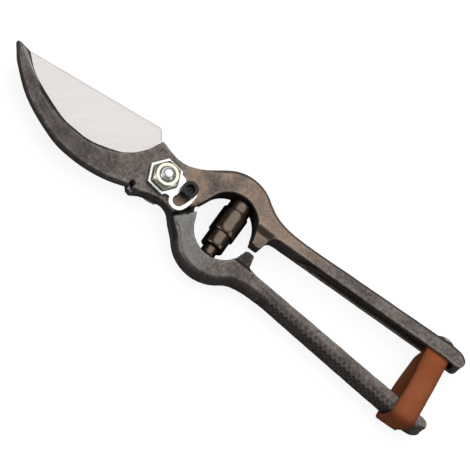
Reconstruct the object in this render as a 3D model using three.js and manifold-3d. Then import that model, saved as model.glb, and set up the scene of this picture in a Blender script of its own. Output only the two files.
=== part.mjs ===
// Forged bypass pruning shears, held shut by a leather strap. Millimetres, +Z up.
// The origin is on the pivot's axis, at the flat face of the bolt's head, on which the shears lie.
// +X runs along the line midway between the closed handles. The jaws point to -X.
// Two one-piece levers are halved over each other at the pivot: the hook lever in front, the blade
// lever behind. From the ring to the handle's end the two are mirror images about the X axis.
import * as THREE from "three";
import { mergeVertices } from "three/addons/utils/BufferGeometryUtils.js";
import Module from "manifold-3d";

const wasm = await Module();
wasm.setup();

// ---- driving dimensions ----
const FIT = 0.25; // clearance round a pin, and of a piece in its seat
const LAP_GAP = 0.3; // between the two halves at the pivot

// heights along the pivot's axis
const HEAD_HEIGHT = 3;
const WASHER_THICKNESS = 1;
const LAP_THICKNESS = 5.1; // each lever's half at the pivot
const PLATE_THICKNESS = 1.8;
const NUT_HEIGHT = 5;
const BOLT_STICK_OUT = 1.8; // bolt end beyond the nut
const LEVER_BACK = HEAD_HEIGHT + WASHER_THICKNESS;
const LAP_BACK = LEVER_BACK + LAP_THICKNESS; // front face of the blade lever's half
const LAP_FRONT = LAP_BACK + LAP_GAP; // back face of the hook lever's half
const LEVER_FRONT = LAP_FRONT + LAP_THICKNESS;
const MIDDLE = (LEVER_BACK + LEVER_FRONT) / 2;

// pivot
const LAP_RADIUS = 14; // a lever's half stays inside this on the other lever's side
const SHOULDER_RADIUS = 15.4; // where a lever steps up to its full depth
const JOURNAL_RADIUS = 4;
const THREAD_RADIUS = 3;
const NUT_ACROSS_FLATS = 10;
const NUT_TURN = -7; // degrees
const HEAD_ACROSS_FLATS = 13;
const WASHER_RADIUS = 8;

// lock plate and its screw
const PLATE_CORNER_RADIUS = 7.75;
const SLOT_REACH = 10.75; // from the pivot to the slot's middle line
const PLATE_RIM = 1.95; // metal round the slot
const SLOT_FROM = -26.6; // degrees
const SCREW_ANGLE = 5.6; // degrees, also the slot's upper end
const SCREW_SHANK_RADIUS = 1.9;
const SLOT_HALF_WIDTH = SCREW_SHANK_RADIUS + FIT;
const SCREW_HEAD_RADIUS = 3.3;
const SCREW_HEAD_HEIGHT = 3.2;
const SOCKET_ACROSS_FLATS = 3;

// ring and stop lugs
const RING = { x: 30.9, y: 2.7, inner: 11.7 };
const HOOK_RING_BACK = { x: 29.5, y: 6.3, outer: 16.5, from: 128 };
const BLADE_RING_BACK = { x: 31, y: 6.1, outer: 16.6, from: 145 };
const RING_BACK_TO = 52; // degrees
const LUG_GAP = 1.8; // from the mid line to a lug's end
const LUG_END = 47.5;
const LUG_FRONT_CUT = 2.4; // the lug's face lies this much below the lever's

// handles
const NECK = 61; // where the handle becomes straight
const NECK_OUTER = 14.5;
const NECK_INNER = 9.3;
const OUTER_SLOPE = 0.0627;
const INNER_SLOPE = 0.0482;
const HOOK_HANDLE_END = 138.7;
const BLADE_HANDLE_END = 140.6;
const HOOK_NOSE = 0.6; // the hook lever's end turns inwards by this
const BLADE_NOSE = 0;
const WEB = 2.6; // metal left behind the channel
const FLANGE = 1.2; // metal in front of and behind the channel
const CHANNEL_HALF = (LEVER_FRONT - LEVER_BACK) / 2 - FLANGE;
const CHANNEL_RUN_IN = 8;
const CHANNEL_END_WALL = 3.3;

// jaws
const BEVEL_WIDTH = 3.3; // of the hook's inner bevel
const BEVEL_FOOT = 0.7; // metal left standing under the bevel
const BLADE_THICKNESS = 3;
const BLADE_EDGE = 0.4;
const GRIND_WIDTH = 11;
const NOTCH_WIDTH = 2.2;
const NOTCH_DEPTH = 2.7;
const NOTCH_X = -8.8;

// spring, measured along Y from the mid line
const SPRING_X = 31.5;
const SPRING_WALL = 0.6;
const SPRING_END_RADIUS = 3;
const SPRING_END = RING.y + Math.sqrt(RING.inner ** 2 - (SPRING_X - RING.x + SPRING_END_RADIUS) ** 2) - FIT;
const SPRING_TURNS = [
  { from: -SPRING_END, to: -9.1, radius: SPRING_END_RADIUS },
  { from: -9.1, to: -2.5, radius: 4.65 },
  { from: -2.5, to: 8.2, radius: 5.3 },
  { from: 8.2, to: 12.4, radius: 4.9 },
  { from: 12.4, to: SPRING_END, radius: SPRING_END_RADIUS },
];
const SEAT_RADIUS = 1.8; // nipple that locates the spring's end
const SEAT_HEIGHT = 3.4;

// strap and rivet
const STRAP_FROM_END = 10.9; // from the shorter handle's end, so that the loop holds both
const STRAP_X = Math.min(HOOK_HANDLE_END, BLADE_HANDLE_END) - STRAP_FROM_END;
const STRAP_WIDTH = 10.4;
const LEATHER = 1.7;
const STRAP_SLACK = 0.5; // between the loop and the blade lever's handle
const STRAP_SEAT = 0.3; // between the strap and the channel's floor
const RIVET_RADIUS = 1.3;
const RIVET_HEAD_SPACE = 0.2; // between the rivet's head and the strap's sides
const RIVET_HEAD_RADIUS = CHANNEL_HALF - FIT - LEATHER - RIVET_HEAD_SPACE;
const CAP_RADIUS = 4.8;
const CAP_HEIGHT = 2.2;

// ---- helpers ----
const rad = THREE.MathUtils.degToRad;
const points = (list) => list.map(([x, y]) => new THREE.Vector2(x, y));
const mirrored = (list) => list.map((p) => new THREE.Vector2(p.x, -p.y));
const spline = (list, steps) => new THREE.SplineCurve(points(list)).getPoints(steps);

function arc(x, y, radius, from, to, steps) {
  const curve = new THREE.EllipseCurve(x, y, radius, radius, rad(from), rad(to), to < from);
  return curve.getPoints(steps);
}

// One outline from several runs of points, without repeated neighbours.
function outline(...runs) {
  const all = runs.flat();
  const kept = all.filter((p, i) => p.distanceTo(all[(i + 1) % all.length]) > 0.05);
  return new THREE.Shape(kept);
}

function extrude(shape, bottom, top, curveSegments = 12) {
  const settings = { depth: top - bottom, bevelEnabled: false, curveSegments };
  return new THREE.ExtrudeGeometry(shape, settings).translate(0, 0, bottom);
}

function solid(geometry) {
  geometry.deleteAttribute("normal");
  geometry.deleteAttribute("uv");
  const merged = mergeVertices(geometry, 1e-4);
  const vertProperties = merged.attributes.position.array;
  const triVerts = new Uint32Array(merged.index.array);
  return new wasm.Manifold(new wasm.Mesh({ numProp: 3, vertProperties, triVerts }));
}

function geometryOf(manifold) {
  const mesh = manifold.getMesh();
  const geometry = new THREE.BufferGeometry();
  geometry.setAttribute("position", new THREE.BufferAttribute(mesh.vertProperties, 3));
  geometry.setIndex(new THREE.BufferAttribute(mesh.triVerts, 1));
  return geometry.toNonIndexed();
}

// A solid through closed rings of the same number of points, capped at both ends.
function loft(rings) {
  const size = rings[0].length;
  const position = rings.flat().flatMap((p) => [p.x, p.y, p.z]);
  const index = [];
  for (let i = 0; i + 1 < rings.length; i++) {
    for (let k = 0; k < size; k++) {
      const a = i * size + k;
      const b = i * size + ((k + 1) % size);
      index.push(a, b, a + size, b, b + size, a + size);
    }
  }
  const last = (rings.length - 1) * size;
  for (let k = 1; k + 1 < size; k++) {
    index.push(0, k + 1, k);
    index.push(last, last + k, last + k + 1);
  }
  const geometry = new THREE.BufferGeometry();
  geometry.setAttribute("position", new THREE.Float32BufferAttribute(position, 3));
  geometry.setIndex(index);
  return geometry;
}

// The loft as a solid, whichever way round its rings run.
function loftSolid(rings) {
  const made = solid(loft(rings));
  if (made.volume() > 0) return made;
  return solid(loft(rings.map((ring) => [...ring].reverse())));
}

function cylinder(radius, bottom, top, x = 0, y = 0, sides = 32) {
  const geometry = new THREE.CylinderGeometry(radius, radius, top - bottom, sides);
  return geometry.rotateX(Math.PI / 2).translate(x, y, (bottom + top) / 2);
}

function box(x0, x1, y0, y1, z0, z1) {
  const geometry = new THREE.BoxGeometry(x1 - x0, y1 - y0, z1 - z0);
  return geometry.translate((x0 + x1) / 2, (y0 + y1) / 2, (z0 + z1) / 2);
}

function hexagon(acrossFlats, turn) {
  const corner = acrossFlats / Math.sqrt(3);
  const corners = [0, 1, 2, 3, 4, 5].map((i) => rad(turn + 60 * i));
  return corners.map((a) => new THREE.Vector2(corner * Math.cos(a), corner * Math.sin(a)));
}

// Height of a run of points at x, where the run goes from left to right.
function heightAt(run, x) {
  const i = run.findIndex((p) => p.x >= x);
  if (i < 0) return run[run.length - 1].y;
  if (i === 0) return run[0].y;
  const t = (x - run[i - 1].x) / (run[i].x - run[i - 1].x);
  return run[i - 1].y + t * (run[i].y - run[i - 1].y);
}

// ---- the levers' common half: ring, stop lug and handle ----
const outerAt = (x) => NECK_OUTER + OUTER_SLOPE * (x - NECK);
const innerAt = (x) => NECK_INNER + INNER_SLOPE * (x - NECK);

function ringPoint(radiusOf, degrees, centre) {
  return [centre.x + radiusOf * Math.cos(rad(degrees)), centre.y + radiusOf * Math.sin(rad(degrees))];
}

// From the waist above the pivot, out along the back of the ring and handle, and back along the
// inside to the waist below the pivot.
function gripRun(end, nose, waist, ringBack) {
  const ringStart = ringPoint(ringBack.outer, ringBack.from, ringBack);
  const ringStop = ringPoint(ringBack.outer, RING_BACK_TO, ringBack);
  const { x, y, inner } = RING;
  const lugSide = Math.min(x + inner, LUG_END - 3);
  const lapStart = [LAP_RADIUS * Math.cos(rad(-14)), LAP_RADIUS * Math.sin(rad(-14))];
  return [
    ...spline([...waist, ringStart], 14),
    ...arc(ringBack.x, ringBack.y, ringBack.outer, ringBack.from, RING_BACK_TO, 12),
    ...spline([ringStop, [45.5, 16.1], [53, NECK_OUTER + 0.1], [NECK, NECK_OUTER]], 8),
    ...spline([
      [end - 7, outerAt(end - 7)],
      [end - 2.6, outerAt(end) - 1],
      [end, innerAt(end) + 3],
      [end - 0.5, innerAt(end) + 0.9 - nose],
      [end - 2.5, innerAt(end) - nose],
      [end - 7, innerAt(end - 7)],
    ], 14),
    ...spline([[52, innerAt(52)], [49.3, innerAt(52) - 0.6], [LUG_END + 0.2, 6.2], [LUG_END, 3.2]], 6),
    ...points([[LUG_END, LUG_GAP + 0.7], [LUG_END - 0.7, LUG_GAP]]),
    ...points([[lugSide + 0.5, LUG_GAP], [lugSide, LUG_GAP + 0.6]]),
    ...arc(x, y, inner, 2, 163, 24),
    ...spline([ringPoint(inner, 164, RING), [17.3, 0.6], [15.6, -2.1], lapStart], 7),
    ...arc(0, 0, LAP_RADIUS, -16, -38, 4),
    ...spline([[10.4, -8.9], [7.4, -8.3], [3.4, -8.1], [-0.6, -9], [-4.8, -10.9]], 8),
  ];
}

// Everything that a lever leaves to the other one at the pivot: the jaws' side, a round pocket, and
// the corner between the pocket and the ring, which lies above the mid line on the hook lever.
function lapCutter(side, bottom, top) {
  const round = solid(cylinder(SHOULDER_RADIUS, bottom, top, 0, 0, 64));
  const corner = points([[8, 6], [SHOULDER_RADIUS - 1.1, 5.9], [19.1, 2.1], [19.1, -4], [8, -4]]);
  const wedge = new THREE.Shape(side > 0 ? corner : mirrored(corner));
  return round
    .add(solid(extrude(wedge, bottom, top)))
    .add(solid(box(-90, 5, -30, 30, bottom, top)));
}

// The channel in a handle's inner side, drawn for the hook lever and flipped by side.
function channelCutter(side, end) {
  const floorStart = NECK + CHANNEL_RUN_IN;
  const floorEnd = end - CHANNEL_END_WALL;
  const run = points([
    [NECK - 1, innerAt(NECK - 1)],
    [floorStart, outerAt(floorStart) - WEB],
    [floorEnd, outerAt(floorEnd) - WEB],
    [floorEnd, innerAt(floorEnd) - 2],
    [NECK, innerAt(NECK) - 2],
  ]);
  const shape = new THREE.Shape(side > 0 ? run : mirrored(run));
  return solid(extrude(shape, LEVER_BACK + FLANGE, LEVER_FRONT - FLANGE));
}

// The nipple on the ring's inside on which the spring sits.
function springSeat(side) {
  const root = RING.y + RING.inner + 1;
  const length = SEAT_HEIGHT + 1;
  const geometry = new THREE.CylinderGeometry(SEAT_RADIUS, SEAT_RADIUS * 0.7, length, 20);
  geometry.translate(0, root - length / 2, 0);
  if (side < 0) geometry.rotateX(Math.PI);
  return solid(geometry.translate(SPRING_X, 0, MIDDLE));
}

function lugCutter(side) {
  const reach = 7;
  const [y0, y1] = side > 0 ? [0, reach] : [-reach, 0];
  const low = LEVER_FRONT - LUG_FRONT_CUT;
  return solid(box(RING.x + RING.inner - 2, LUG_END + 2, y0, y1, low, LEVER_FRONT + 1));
}

function finishedGrip(lever, side, end) {
  return lever.add(springSeat(side)).subtract(channelCutter(side, end)).subtract(lugCutter(side));
}

// ---- hook lever ----
const HOOK_TIP = [-77.7, 8.4];
const HOOK_WAIST = [[-3.3, 10.4], [0.7, 9.75], [5.5, 10.4], [10.9, 13]];
const TIP_BEVEL_LINE = [[-79.2, 9.9], [-65.7, 0.6]]; // where the tip's bevel leaves the front face
const TIP_BEVEL_SLOPE = 1.15;

function hookInnerEdge() {
  return spline([
    [-71.2, 9.1], [-66, 4.3], [-60, 0.9], [-46.4, -4.3], [-38.5, -5.2], [-30.4, -4.8],
    [-18.3, -0.4], [-11.9, 5.4], [-9.1, 11.8],
  ], 40);
}

function hookOutline() {
  const belly = spline([
    [-10, -11.4], [-16.8, -13.9], [-25, -15.6], [-35, -16], [-45, -14.4], [-60.5, -7.8],
    [-71.8, 1.2], [-75.8, 6], HOOK_TIP,
  ], 36);
  const tip = spline([HOOK_TIP, [-77.4, 9.6], [-76, 10], [-71.2, 9.1]], 6);
  const grip = gripRun(HOOK_HANDLE_END, HOOK_NOSE, HOOK_WAIST, HOOK_RING_BACK);
  return outline(grip, belly, tip, hookInnerEdge(), points([[-7.2, 11.5]]));
}

// Slopes the hook's front face down to its inner edge, fading out at both ends.
function hookBevel() {
  const edge = hookInnerEdge();
  const foot = LAP_FRONT + BEVEL_FOOT;
  const over = 1;
  const rings = edge.slice(1, -1).map((p, i, all) => {
    const before = edge[i];
    const after = edge[i + 2];
    const along = after.clone().sub(before).normalize();
    const inwards = new THREE.Vector2(along.y, -along.x);
    const share = i / (all.length - 1);
    const width = BEVEL_WIDTH * Math.min(1, 0.35 + 4 * share, 0.12 + 3.2 * (1 - share));
    const slope = (LEVER_FRONT - foot) / width;
    const at = (distance, z) => {
      const q = p.clone().addScaledVector(inwards, distance);
      return new THREE.Vector3(q.x, q.y, z);
    };
    return [
      at(-over, foot - over * slope),
      at(width + over, LEVER_FRONT + over * slope),
      at(-over, LEVER_FRONT + over * slope),
    ];
  });
  return loftSolid(rings);
}

// Takes the inner side of the hook's tip down in one slanted face.
function tipBevel() {
  const [from, to] = points(TIP_BEVEL_LINE);
  const along = to.clone().sub(from).normalize();
  const over = 1;
  const reach = 6;
  const rings = [from, to].map((p) => {
    const at = (distance) => new THREE.Vector3(
      p.x - along.y * distance,
      p.y + along.x * distance,
      LEVER_FRONT - TIP_BEVEL_SLOPE * distance,
    );
    const corner = at(reach);
    return [at(-over), corner, new THREE.Vector3(corner.x, corner.y, LEVER_FRONT + TIP_BEVEL_SLOPE * over)];
  });
  return loftSolid(rings);
}

function notchCutter() {
  const depthLine = -11.5 + NOTCH_DEPTH;
  const half = NOTCH_WIDTH / 2;
  const floor = arc(NOTCH_X, depthLine - half, half, 0, 180, 8);
  const mouth = points([[NOTCH_X - half, -16], [NOTCH_X + half, -16]]);
  return solid(extrude(new THREE.Shape([...floor, ...mouth]), LAP_FRONT - 1, LEVER_FRONT + 1));
}

function hookLever() {
  const screwX = SLOT_REACH * Math.cos(rad(SCREW_ANGLE));
  const screwY = SLOT_REACH * Math.sin(rad(SCREW_ANGLE));
  const blank = solid(extrude(hookOutline(), LEVER_BACK, LEVER_FRONT));
  const lever = finishedGrip(blank.subtract(lapCutter(1, LEVER_BACK - 1, LAP_FRONT)), 1, HOOK_HANDLE_END);
  const rivetHole = solid(cylinder(RIVET_RADIUS + FIT, -8, 8).rotateX(Math.PI / 2)
    .rotateZ(strapTurn).translate(STRAP_X, strapFloor, MIDDLE));
  return geometryOf(lever
    .subtract(hookBevel())
    .subtract(tipBevel())
    .subtract(notchCutter())
    .subtract(solid(cylinder(THREAD_RADIUS + FIT, LAP_FRONT - 1, LEVER_FRONT + 1)))
    .subtract(solid(cylinder(SCREW_SHANK_RADIUS + FIT, LAP_FRONT - 1, LEVER_FRONT + 1, screwX, screwY, 20)))
    .subtract(rivetHole));
}

// ---- blade lever ----
const BLADE_WAIST = [[-3.3, 9.3], [0.7, 7.8], [5.5, 6.9], [9.2, 7.9], [12.1, 10.7]];
const BLADE_SPINE_TIP = [-73, 9.5];
const BLADE_HEEL_TOP = [-12.6, 17.8];

function bladeSpine() {
  const heel = spline([BLADE_HEEL_TOP, [-11.4, 17.4], [-10.5, 16.1], [-9.1, 14.2], [-6, 11.2]], 10);
  return [...points([BLADE_SPINE_TIP]), ...heel];
}

function cuttingEdge() {
  return spline([
    [-73, 9.2], [-70.4, 5.6], [-66, 1.9], [-60, -1.8], [-45, -7], [-36, -8.2], [-26, -8], [-14, -6.8], [-6, -6.4],
  ], 30);
}

// The ground blade: flat in front, hollowed away behind towards the cutting edge.
function blade() {
  const spine = bladeSpine();
  const edge = cuttingEdge();
  const stations = [...edge.map((p) => p.x), ...spine.map((p) => p.x)].sort((a, b) => a - b);
  const kept = stations.filter((x, i) => i === 0 || x - stations[i - 1] > 0.3);
  return loftSolid(kept.map((x) => {
    const low = heightAt(edge, x);
    const high = heightAt(spine, x);
    const width = high - low;
    const thick = Math.min(BLADE_THICKNESS, BLADE_EDGE + width * 0.45);
    const grind = low + Math.min(GRIND_WIDTH, width * 0.7);
    return [
      new THREE.Vector3(x, low, LAP_BACK),
      new THREE.Vector3(x, low, LAP_BACK - BLADE_EDGE),
      new THREE.Vector3(x, grind, LAP_BACK - thick),
      new THREE.Vector3(x, high, LAP_BACK - thick),
      new THREE.Vector3(x, high, LAP_BACK),
    ];
  }));
}

function bladeLever() {
  const root = spline([[-7.2, 12.6], [-10.4, 10], [-12.8, 6], [-14, 0], [-12.4, -6], [-9.6, -9.8]], 12);
  const shape = outline(
    mirrored(gripRun(BLADE_HANDLE_END, BLADE_NOSE, BLADE_WAIST, BLADE_RING_BACK)),
    root,
    points([[-8.6, -11], [-6.6, -11.5]]),
  );
  const blank = solid(extrude(shape, LEVER_BACK, LEVER_FRONT));
  const grip = finishedGrip(blank.subtract(lapCutter(-1, LAP_BACK, LEVER_FRONT + 1)), -1, BLADE_HANDLE_END);
  const bore = solid(cylinder(JOURNAL_RADIUS + FIT, LEVER_BACK - 1, LAP_BACK + 1));
  return geometryOf(grip.add(blade()).subtract(bore));
}

// ---- pivot hardware ----
const nutTop = LEVER_FRONT + NUT_HEIGHT;

// Flat hexagon head behind, a plain journal through the blade lever, then the thread.
function pivotBolt() {
  const boltEnd = nutTop + BOLT_STICK_OUT;
  const head = solid(extrude(new THREE.Shape(hexagon(HEAD_ACROSS_FLATS, 0)), 0, HEAD_HEIGHT));
  const profile = points([
    [0, HEAD_HEIGHT - 1],
    [JOURNAL_RADIUS, HEAD_HEIGHT - 1],
    [JOURNAL_RADIUS, LAP_BACK],
    [THREAD_RADIUS, LAP_BACK],
    [THREAD_RADIUS, boltEnd - 1.1],
    [THREAD_RADIUS - 0.9, boltEnd - 0.3],
    [0, boltEnd],
  ]);
  const shank = solid(new THREE.LatheGeometry(profile, 32).rotateX(Math.PI / 2));
  return geometryOf(head.add(shank));
}

function washer() {
  const shape = new THREE.Shape().absarc(0, 0, WASHER_RADIUS, 0, 2 * Math.PI);
  shape.holes.push(new THREE.Path().absarc(0, 0, JOURNAL_RADIUS + FIT, 0, 2 * Math.PI));
  return extrude(shape, HEAD_HEIGHT, LEVER_BACK, 20);
}

function nut() {
  const flats = solid(extrude(new THREE.Shape(hexagon(NUT_ACROSS_FLATS, NUT_TURN)), LEVER_FRONT, nutTop));
  const corner = NUT_ACROSS_FLATS / Math.sqrt(3);
  const chamfer = 0.8;
  const turned = new THREE.LatheGeometry(points([
    [0, LEVER_FRONT],
    [corner, LEVER_FRONT],
    [corner, nutTop - chamfer * 0.7],
    [corner - 1.8 * chamfer, nutTop],
    [0, nutTop],
  ]), 36).rotateX(Math.PI / 2);
  const bore = solid(cylinder(THREAD_RADIUS + FIT, LEVER_FRONT - 1, nutTop + 1));
  return geometryOf(flats.intersect(solid(turned)).subtract(bore));
}

// Hexagon round the nut with a slotted tail, whose slot lets the nut be locked where it stands.
function lockPlate() {
  const top = LEVER_FRONT + PLATE_THICKNESS;
  const prism = (list) => solid(extrude(new THREE.Shape(list), LEVER_FRONT, top));
  const slot = (halfWidth) => [
    ...arc(0, 0, SLOT_REACH + halfWidth, SLOT_FROM, SCREW_ANGLE, 8),
    ...endCap(SCREW_ANGLE, halfWidth, 0),
    ...arc(0, 0, SLOT_REACH - halfWidth, SCREW_ANGLE, SLOT_FROM, 8),
    ...endCap(SLOT_FROM, halfWidth, 180),
  ];
  const tail = prism(slot(SLOT_HALF_WIDTH + PLATE_RIM));
  const neck = prism(points([[2, 5.6], [7.4, 4.6], [9, 0], [8, -5.4], [2, -6.2]]));
  const body = prism(hexagon(PLATE_CORNER_RADIUS * Math.sqrt(3), NUT_TURN));
  const around = prism(hexagon(NUT_ACROSS_FLATS + 2 * FIT, NUT_TURN));
  return geometryOf(body.add(tail).add(neck).subtract(around).subtract(prism(slot(SLOT_HALF_WIDTH))));
}

// Half round end of the slot at an angle about the pivot.
function endCap(degrees, halfWidth, turn) {
  const x = SLOT_REACH * Math.cos(rad(degrees));
  const y = SLOT_REACH * Math.sin(rad(degrees));
  return arc(x, y, halfWidth, degrees + turn, degrees + turn + 180, 10).slice(1, -1);
}

// Socket head screw, drawn on the axis and placed by its mesh.
function lockScrew() {
  const seat = LEVER_FRONT + PLATE_THICKNESS;
  const headTop = seat + SCREW_HEAD_HEIGHT;
  const profile = points([
    [0, LAP_FRONT + 0.6],
    [SCREW_SHANK_RADIUS, LAP_FRONT + 0.6],
    [SCREW_SHANK_RADIUS, seat],
    [SCREW_HEAD_RADIUS, seat],
    [SCREW_HEAD_RADIUS, headTop - 0.4],
    [SCREW_HEAD_RADIUS - 0.4, headTop],
    [0, headTop],
  ]);
  const body = solid(new THREE.LatheGeometry(profile, 28).rotateX(Math.PI / 2));
  const socket = new THREE.Shape(hexagon(SOCKET_ACROSS_FLATS, 10));
  return geometryOf(body.subtract(solid(extrude(socket, headTop - 2, headTop + 1))));
}

// ---- spring ----
// The double volute spring's stepped envelope, bored through for the nipples, its axis along Y.
function voluteSpring() {
  const bore = SPRING_END_RADIUS - SPRING_WALL;
  const steps = SPRING_TURNS.flatMap(({ from, to, radius }) => [[radius, from], [radius, to]]);
  const profile = points([[bore, -SPRING_END], ...steps, [bore, SPRING_END], [bore, -SPRING_END]]);
  return new THREE.LatheGeometry(profile, 28);
}

// ---- strap ----
const strapTurn = Math.atan(OUTER_SLOPE);
const strapFloor = outerAt(STRAP_X) - WEB; // the channel's floor at the rivet

// Loop seen along the handle: a runs from the channel's floor towards the other handle, b is
// across the handles. The inner side is the outer one moved in by the leather's thickness.
function strapSide(inset) {
  const base = STRAP_SEAT + inset;
  const narrow = CHANNEL_HALF - FIT - inset;
  const wide = (LEVER_FRONT - LEVER_BACK) / 2 + STRAP_SLACK + LEATHER - inset;
  const skew = (STRAP_WIDTH / 2) * Math.sin(2 * strapTurn); // the handles aren't parallel
  const far = strapFloor + outerAt(STRAP_X) + STRAP_SLACK + skew + LEATHER - inset;
  const round = 1 + LEATHER - inset;
  const fold = 0.2 + 0.8 * (LEATHER - inset); // corner at the channel's floor
  const bendAngles = [90, 68, 45, 22, 0];
  const bend = bendAngles.map((a) => [
    far - round * (1 - Math.cos(rad(a))),
    wide - round * (1 - Math.sin(rad(a))),
  ]);
  const side = spline([
    [base + fold, narrow], [base + 8, narrow + 0.4], [base + 18, wide - 0.8], [far - 12, wide],
    [far - round - 1, wide],
  ], 10);
  const start = points([[base, narrow - fold], [base + 0.3 * fold, narrow - 0.3 * fold]]);
  const run = [...start, ...side, ...points(bend)];
  const back = run.map((p) => new THREE.Vector2(p.x, -p.y)).reverse();
  return [...run, ...back];
}

function strap() {
  const across = (inset, width) => {
    const side = new THREE.Shape(strapSide(inset));
    const bar = new THREE.ExtrudeGeometry(side, { depth: width, bevelEnabled: false });
    const turned = new THREE.Matrix4().makeBasis(
      new THREE.Vector3(0, -1, 0),
      new THREE.Vector3(0, 0, 1),
      new THREE.Vector3(-1, 0, 0),
    );
    return solid(bar.translate(0, 0, -width / 2).applyMatrix4(turned));
  };
  const loop = across(0, STRAP_WIDTH).subtract(across(LEATHER, STRAP_WIDTH + 2));
  const radius = RIVET_RADIUS + FIT;
  const hole = new THREE.CylinderGeometry(radius, radius, 8, 20).translate(0, -2, 0);
  return geometryOf(loop.subtract(solid(hole)));
}

// Shank through the handle's wall and the strap, spread to a head inside the loop. Axis along Y.
function strapRivet() {
  const inside = -(STRAP_SEAT + LEATHER + FIT);
  const profile = points([
    [0, inside - 0.9],
    [RIVET_HEAD_RADIUS, inside - 0.7],
    [RIVET_HEAD_RADIUS, inside],
    [RIVET_RADIUS, inside],
    [RIVET_RADIUS, WEB + FIT],
    [0, WEB + FIT],
  ]);
  return new THREE.LatheGeometry(profile, 24);
}

// Domed cap that closes the rivet on the handle's back.
function rivetCap() {
  const seat = WEB + FIT;
  const steps = [0, 1, 2, 3, 4, 5, 6].map((i) => rad(15 * i));
  const dome = steps.map((a) => [CAP_RADIUS * Math.cos(a), seat + 0.3 + (CAP_HEIGHT - 0.3) * Math.sin(a)]);
  dome[dome.length - 1][0] = 0;
  return new THREE.LatheGeometry(points([[0, seat], [CAP_RADIUS, seat], ...dome]), 28);
}

// ---- materials and assembly ----
const forged = new THREE.MeshStandardMaterial({ color: 0x4a4340, roughness: 0.6, metalness: 0.8 });
const ground = new THREE.MeshStandardMaterial({ color: 0x5a5552, roughness: 0.5, metalness: 0.85 });
const zinc = new THREE.MeshStandardMaterial({ color: 0xd9dad6, roughness: 0.3, metalness: 1 });
const blackened = new THREE.MeshStandardMaterial({ color: 0x17181a, roughness: 0.5, metalness: 0.7 });
const springSteel = new THREE.MeshStandardMaterial({ color: 0x2b2421, roughness: 0.3, metalness: 0.9 });
const leather = new THREE.MeshStandardMaterial({ color: 0x9c5a33, roughness: 0.6, metalness: 0 });

function piece(name, geometry, material) {
  const mesh = new THREE.Mesh(geometry, material);
  mesh.name = name;
  return mesh;
}

const shears = new THREE.Group();
shears.name = "pruning_shears";
shears.add(
  piece("hook_lever", hookLever(), forged),
  piece("blade_lever", bladeLever(), ground),
  piece("pivot_bolt", pivotBolt(), zinc),
  piece("bolt_washer", washer(), zinc),
  piece("pivot_nut", nut(), zinc),
  piece("lock_plate", lockPlate(), zinc),
);

const screw = piece("lock_screw", lockScrew(), blackened);
screw.position.set(SLOT_REACH * Math.cos(rad(SCREW_ANGLE)), SLOT_REACH * Math.sin(rad(SCREW_ANGLE)), 0);
shears.add(screw);

const spring = piece("volute_spring", voluteSpring(), springSteel);
spring.position.set(SPRING_X, 0, MIDDLE);
shears.add(spring);

const closure = new THREE.Group();
closure.position.set(STRAP_X, strapFloor, MIDDLE);
closure.rotation.z = strapTurn;
closure.add(
  piece("leather_strap", strap(), leather),
  piece("strap_rivet", strapRivet(), zinc),
  piece("rivet_cap", rivetCap(), zinc),
);
shears.add(closure);

export default shears;
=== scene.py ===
"""Looks of the forged pruning shears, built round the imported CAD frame.

The two levers, the nut, the lock plate and the other hard pieces are skinned from distance
fields: each is cut from the CAD node's own outline at a height, then given its rounded edges,
bevels, grooves and forging marks. Lengths inside the fields are millimetres.
"""
import math

import bpy
import numpy as np
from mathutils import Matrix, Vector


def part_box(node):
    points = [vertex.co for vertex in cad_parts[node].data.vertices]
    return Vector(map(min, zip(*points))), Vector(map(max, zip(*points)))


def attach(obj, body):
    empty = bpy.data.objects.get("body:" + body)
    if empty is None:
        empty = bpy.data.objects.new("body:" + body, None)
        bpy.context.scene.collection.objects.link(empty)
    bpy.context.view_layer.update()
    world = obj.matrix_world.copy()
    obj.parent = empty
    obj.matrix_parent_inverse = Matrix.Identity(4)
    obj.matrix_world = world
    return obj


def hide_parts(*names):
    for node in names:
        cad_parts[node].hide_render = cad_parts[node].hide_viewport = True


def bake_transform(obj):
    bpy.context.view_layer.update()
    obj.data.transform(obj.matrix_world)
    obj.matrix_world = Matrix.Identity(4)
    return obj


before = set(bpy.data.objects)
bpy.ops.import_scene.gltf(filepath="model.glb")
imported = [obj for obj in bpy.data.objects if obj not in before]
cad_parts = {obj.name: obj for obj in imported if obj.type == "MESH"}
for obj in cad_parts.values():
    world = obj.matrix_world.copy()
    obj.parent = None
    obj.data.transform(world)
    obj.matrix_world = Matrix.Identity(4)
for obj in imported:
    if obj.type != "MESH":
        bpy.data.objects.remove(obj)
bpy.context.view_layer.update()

import openvdb
from mathutils import Matrix, Vector

bl_info = {
    "name": "Forged Pruning Shears",
    "version": (1, 0, 0),
    "blender": (4, 5, 0),
    "location": "View3D > Sidebar > Shears",
    "description": "Builds the levers, pivot, spring and strap of a pair of pruning shears",
    "category": "Object",
}

MM = 0.001
HOOK_BODY = "hook_body"
BLADE_BODY = "blade_body"


def node_box(node):
    """Lowest and highest corner of a CAD node, in millimetres."""
    low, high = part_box(node)
    return np.array(low) / MM, np.array(high) / MM


BACK = node_box("hook_lever")[0][2]
FRONT = node_box("hook_lever")[1][2]
MIDDLE = (BACK + FRONT) / 2
PLATE_FRONT = node_box("lock_plate")[1][2]
BOLT_END = node_box("pivot_bolt")[1][2]
SPRING_X = float(np.mean([c[0] for c in node_box("volute_spring")]))
SPRING_END = node_box("volute_spring")[1][1]
RING_X = 30.3
LAP_STEP = (17.0, 20.0)  # where the blade lever rises to its full depth


# ---------------------------------------------------------------- properties


def length(name, description, default):
    return bpy.props.FloatProperty(
        name=name, description=description, default=default, unit="LENGTH", min=0.0, precision=5
    )


def colour(name, description, default):
    return bpy.props.FloatVectorProperty(
        name=name, description=description, default=default, subtype="COLOR", size=3, min=0.0, max=1.0
    )


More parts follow.
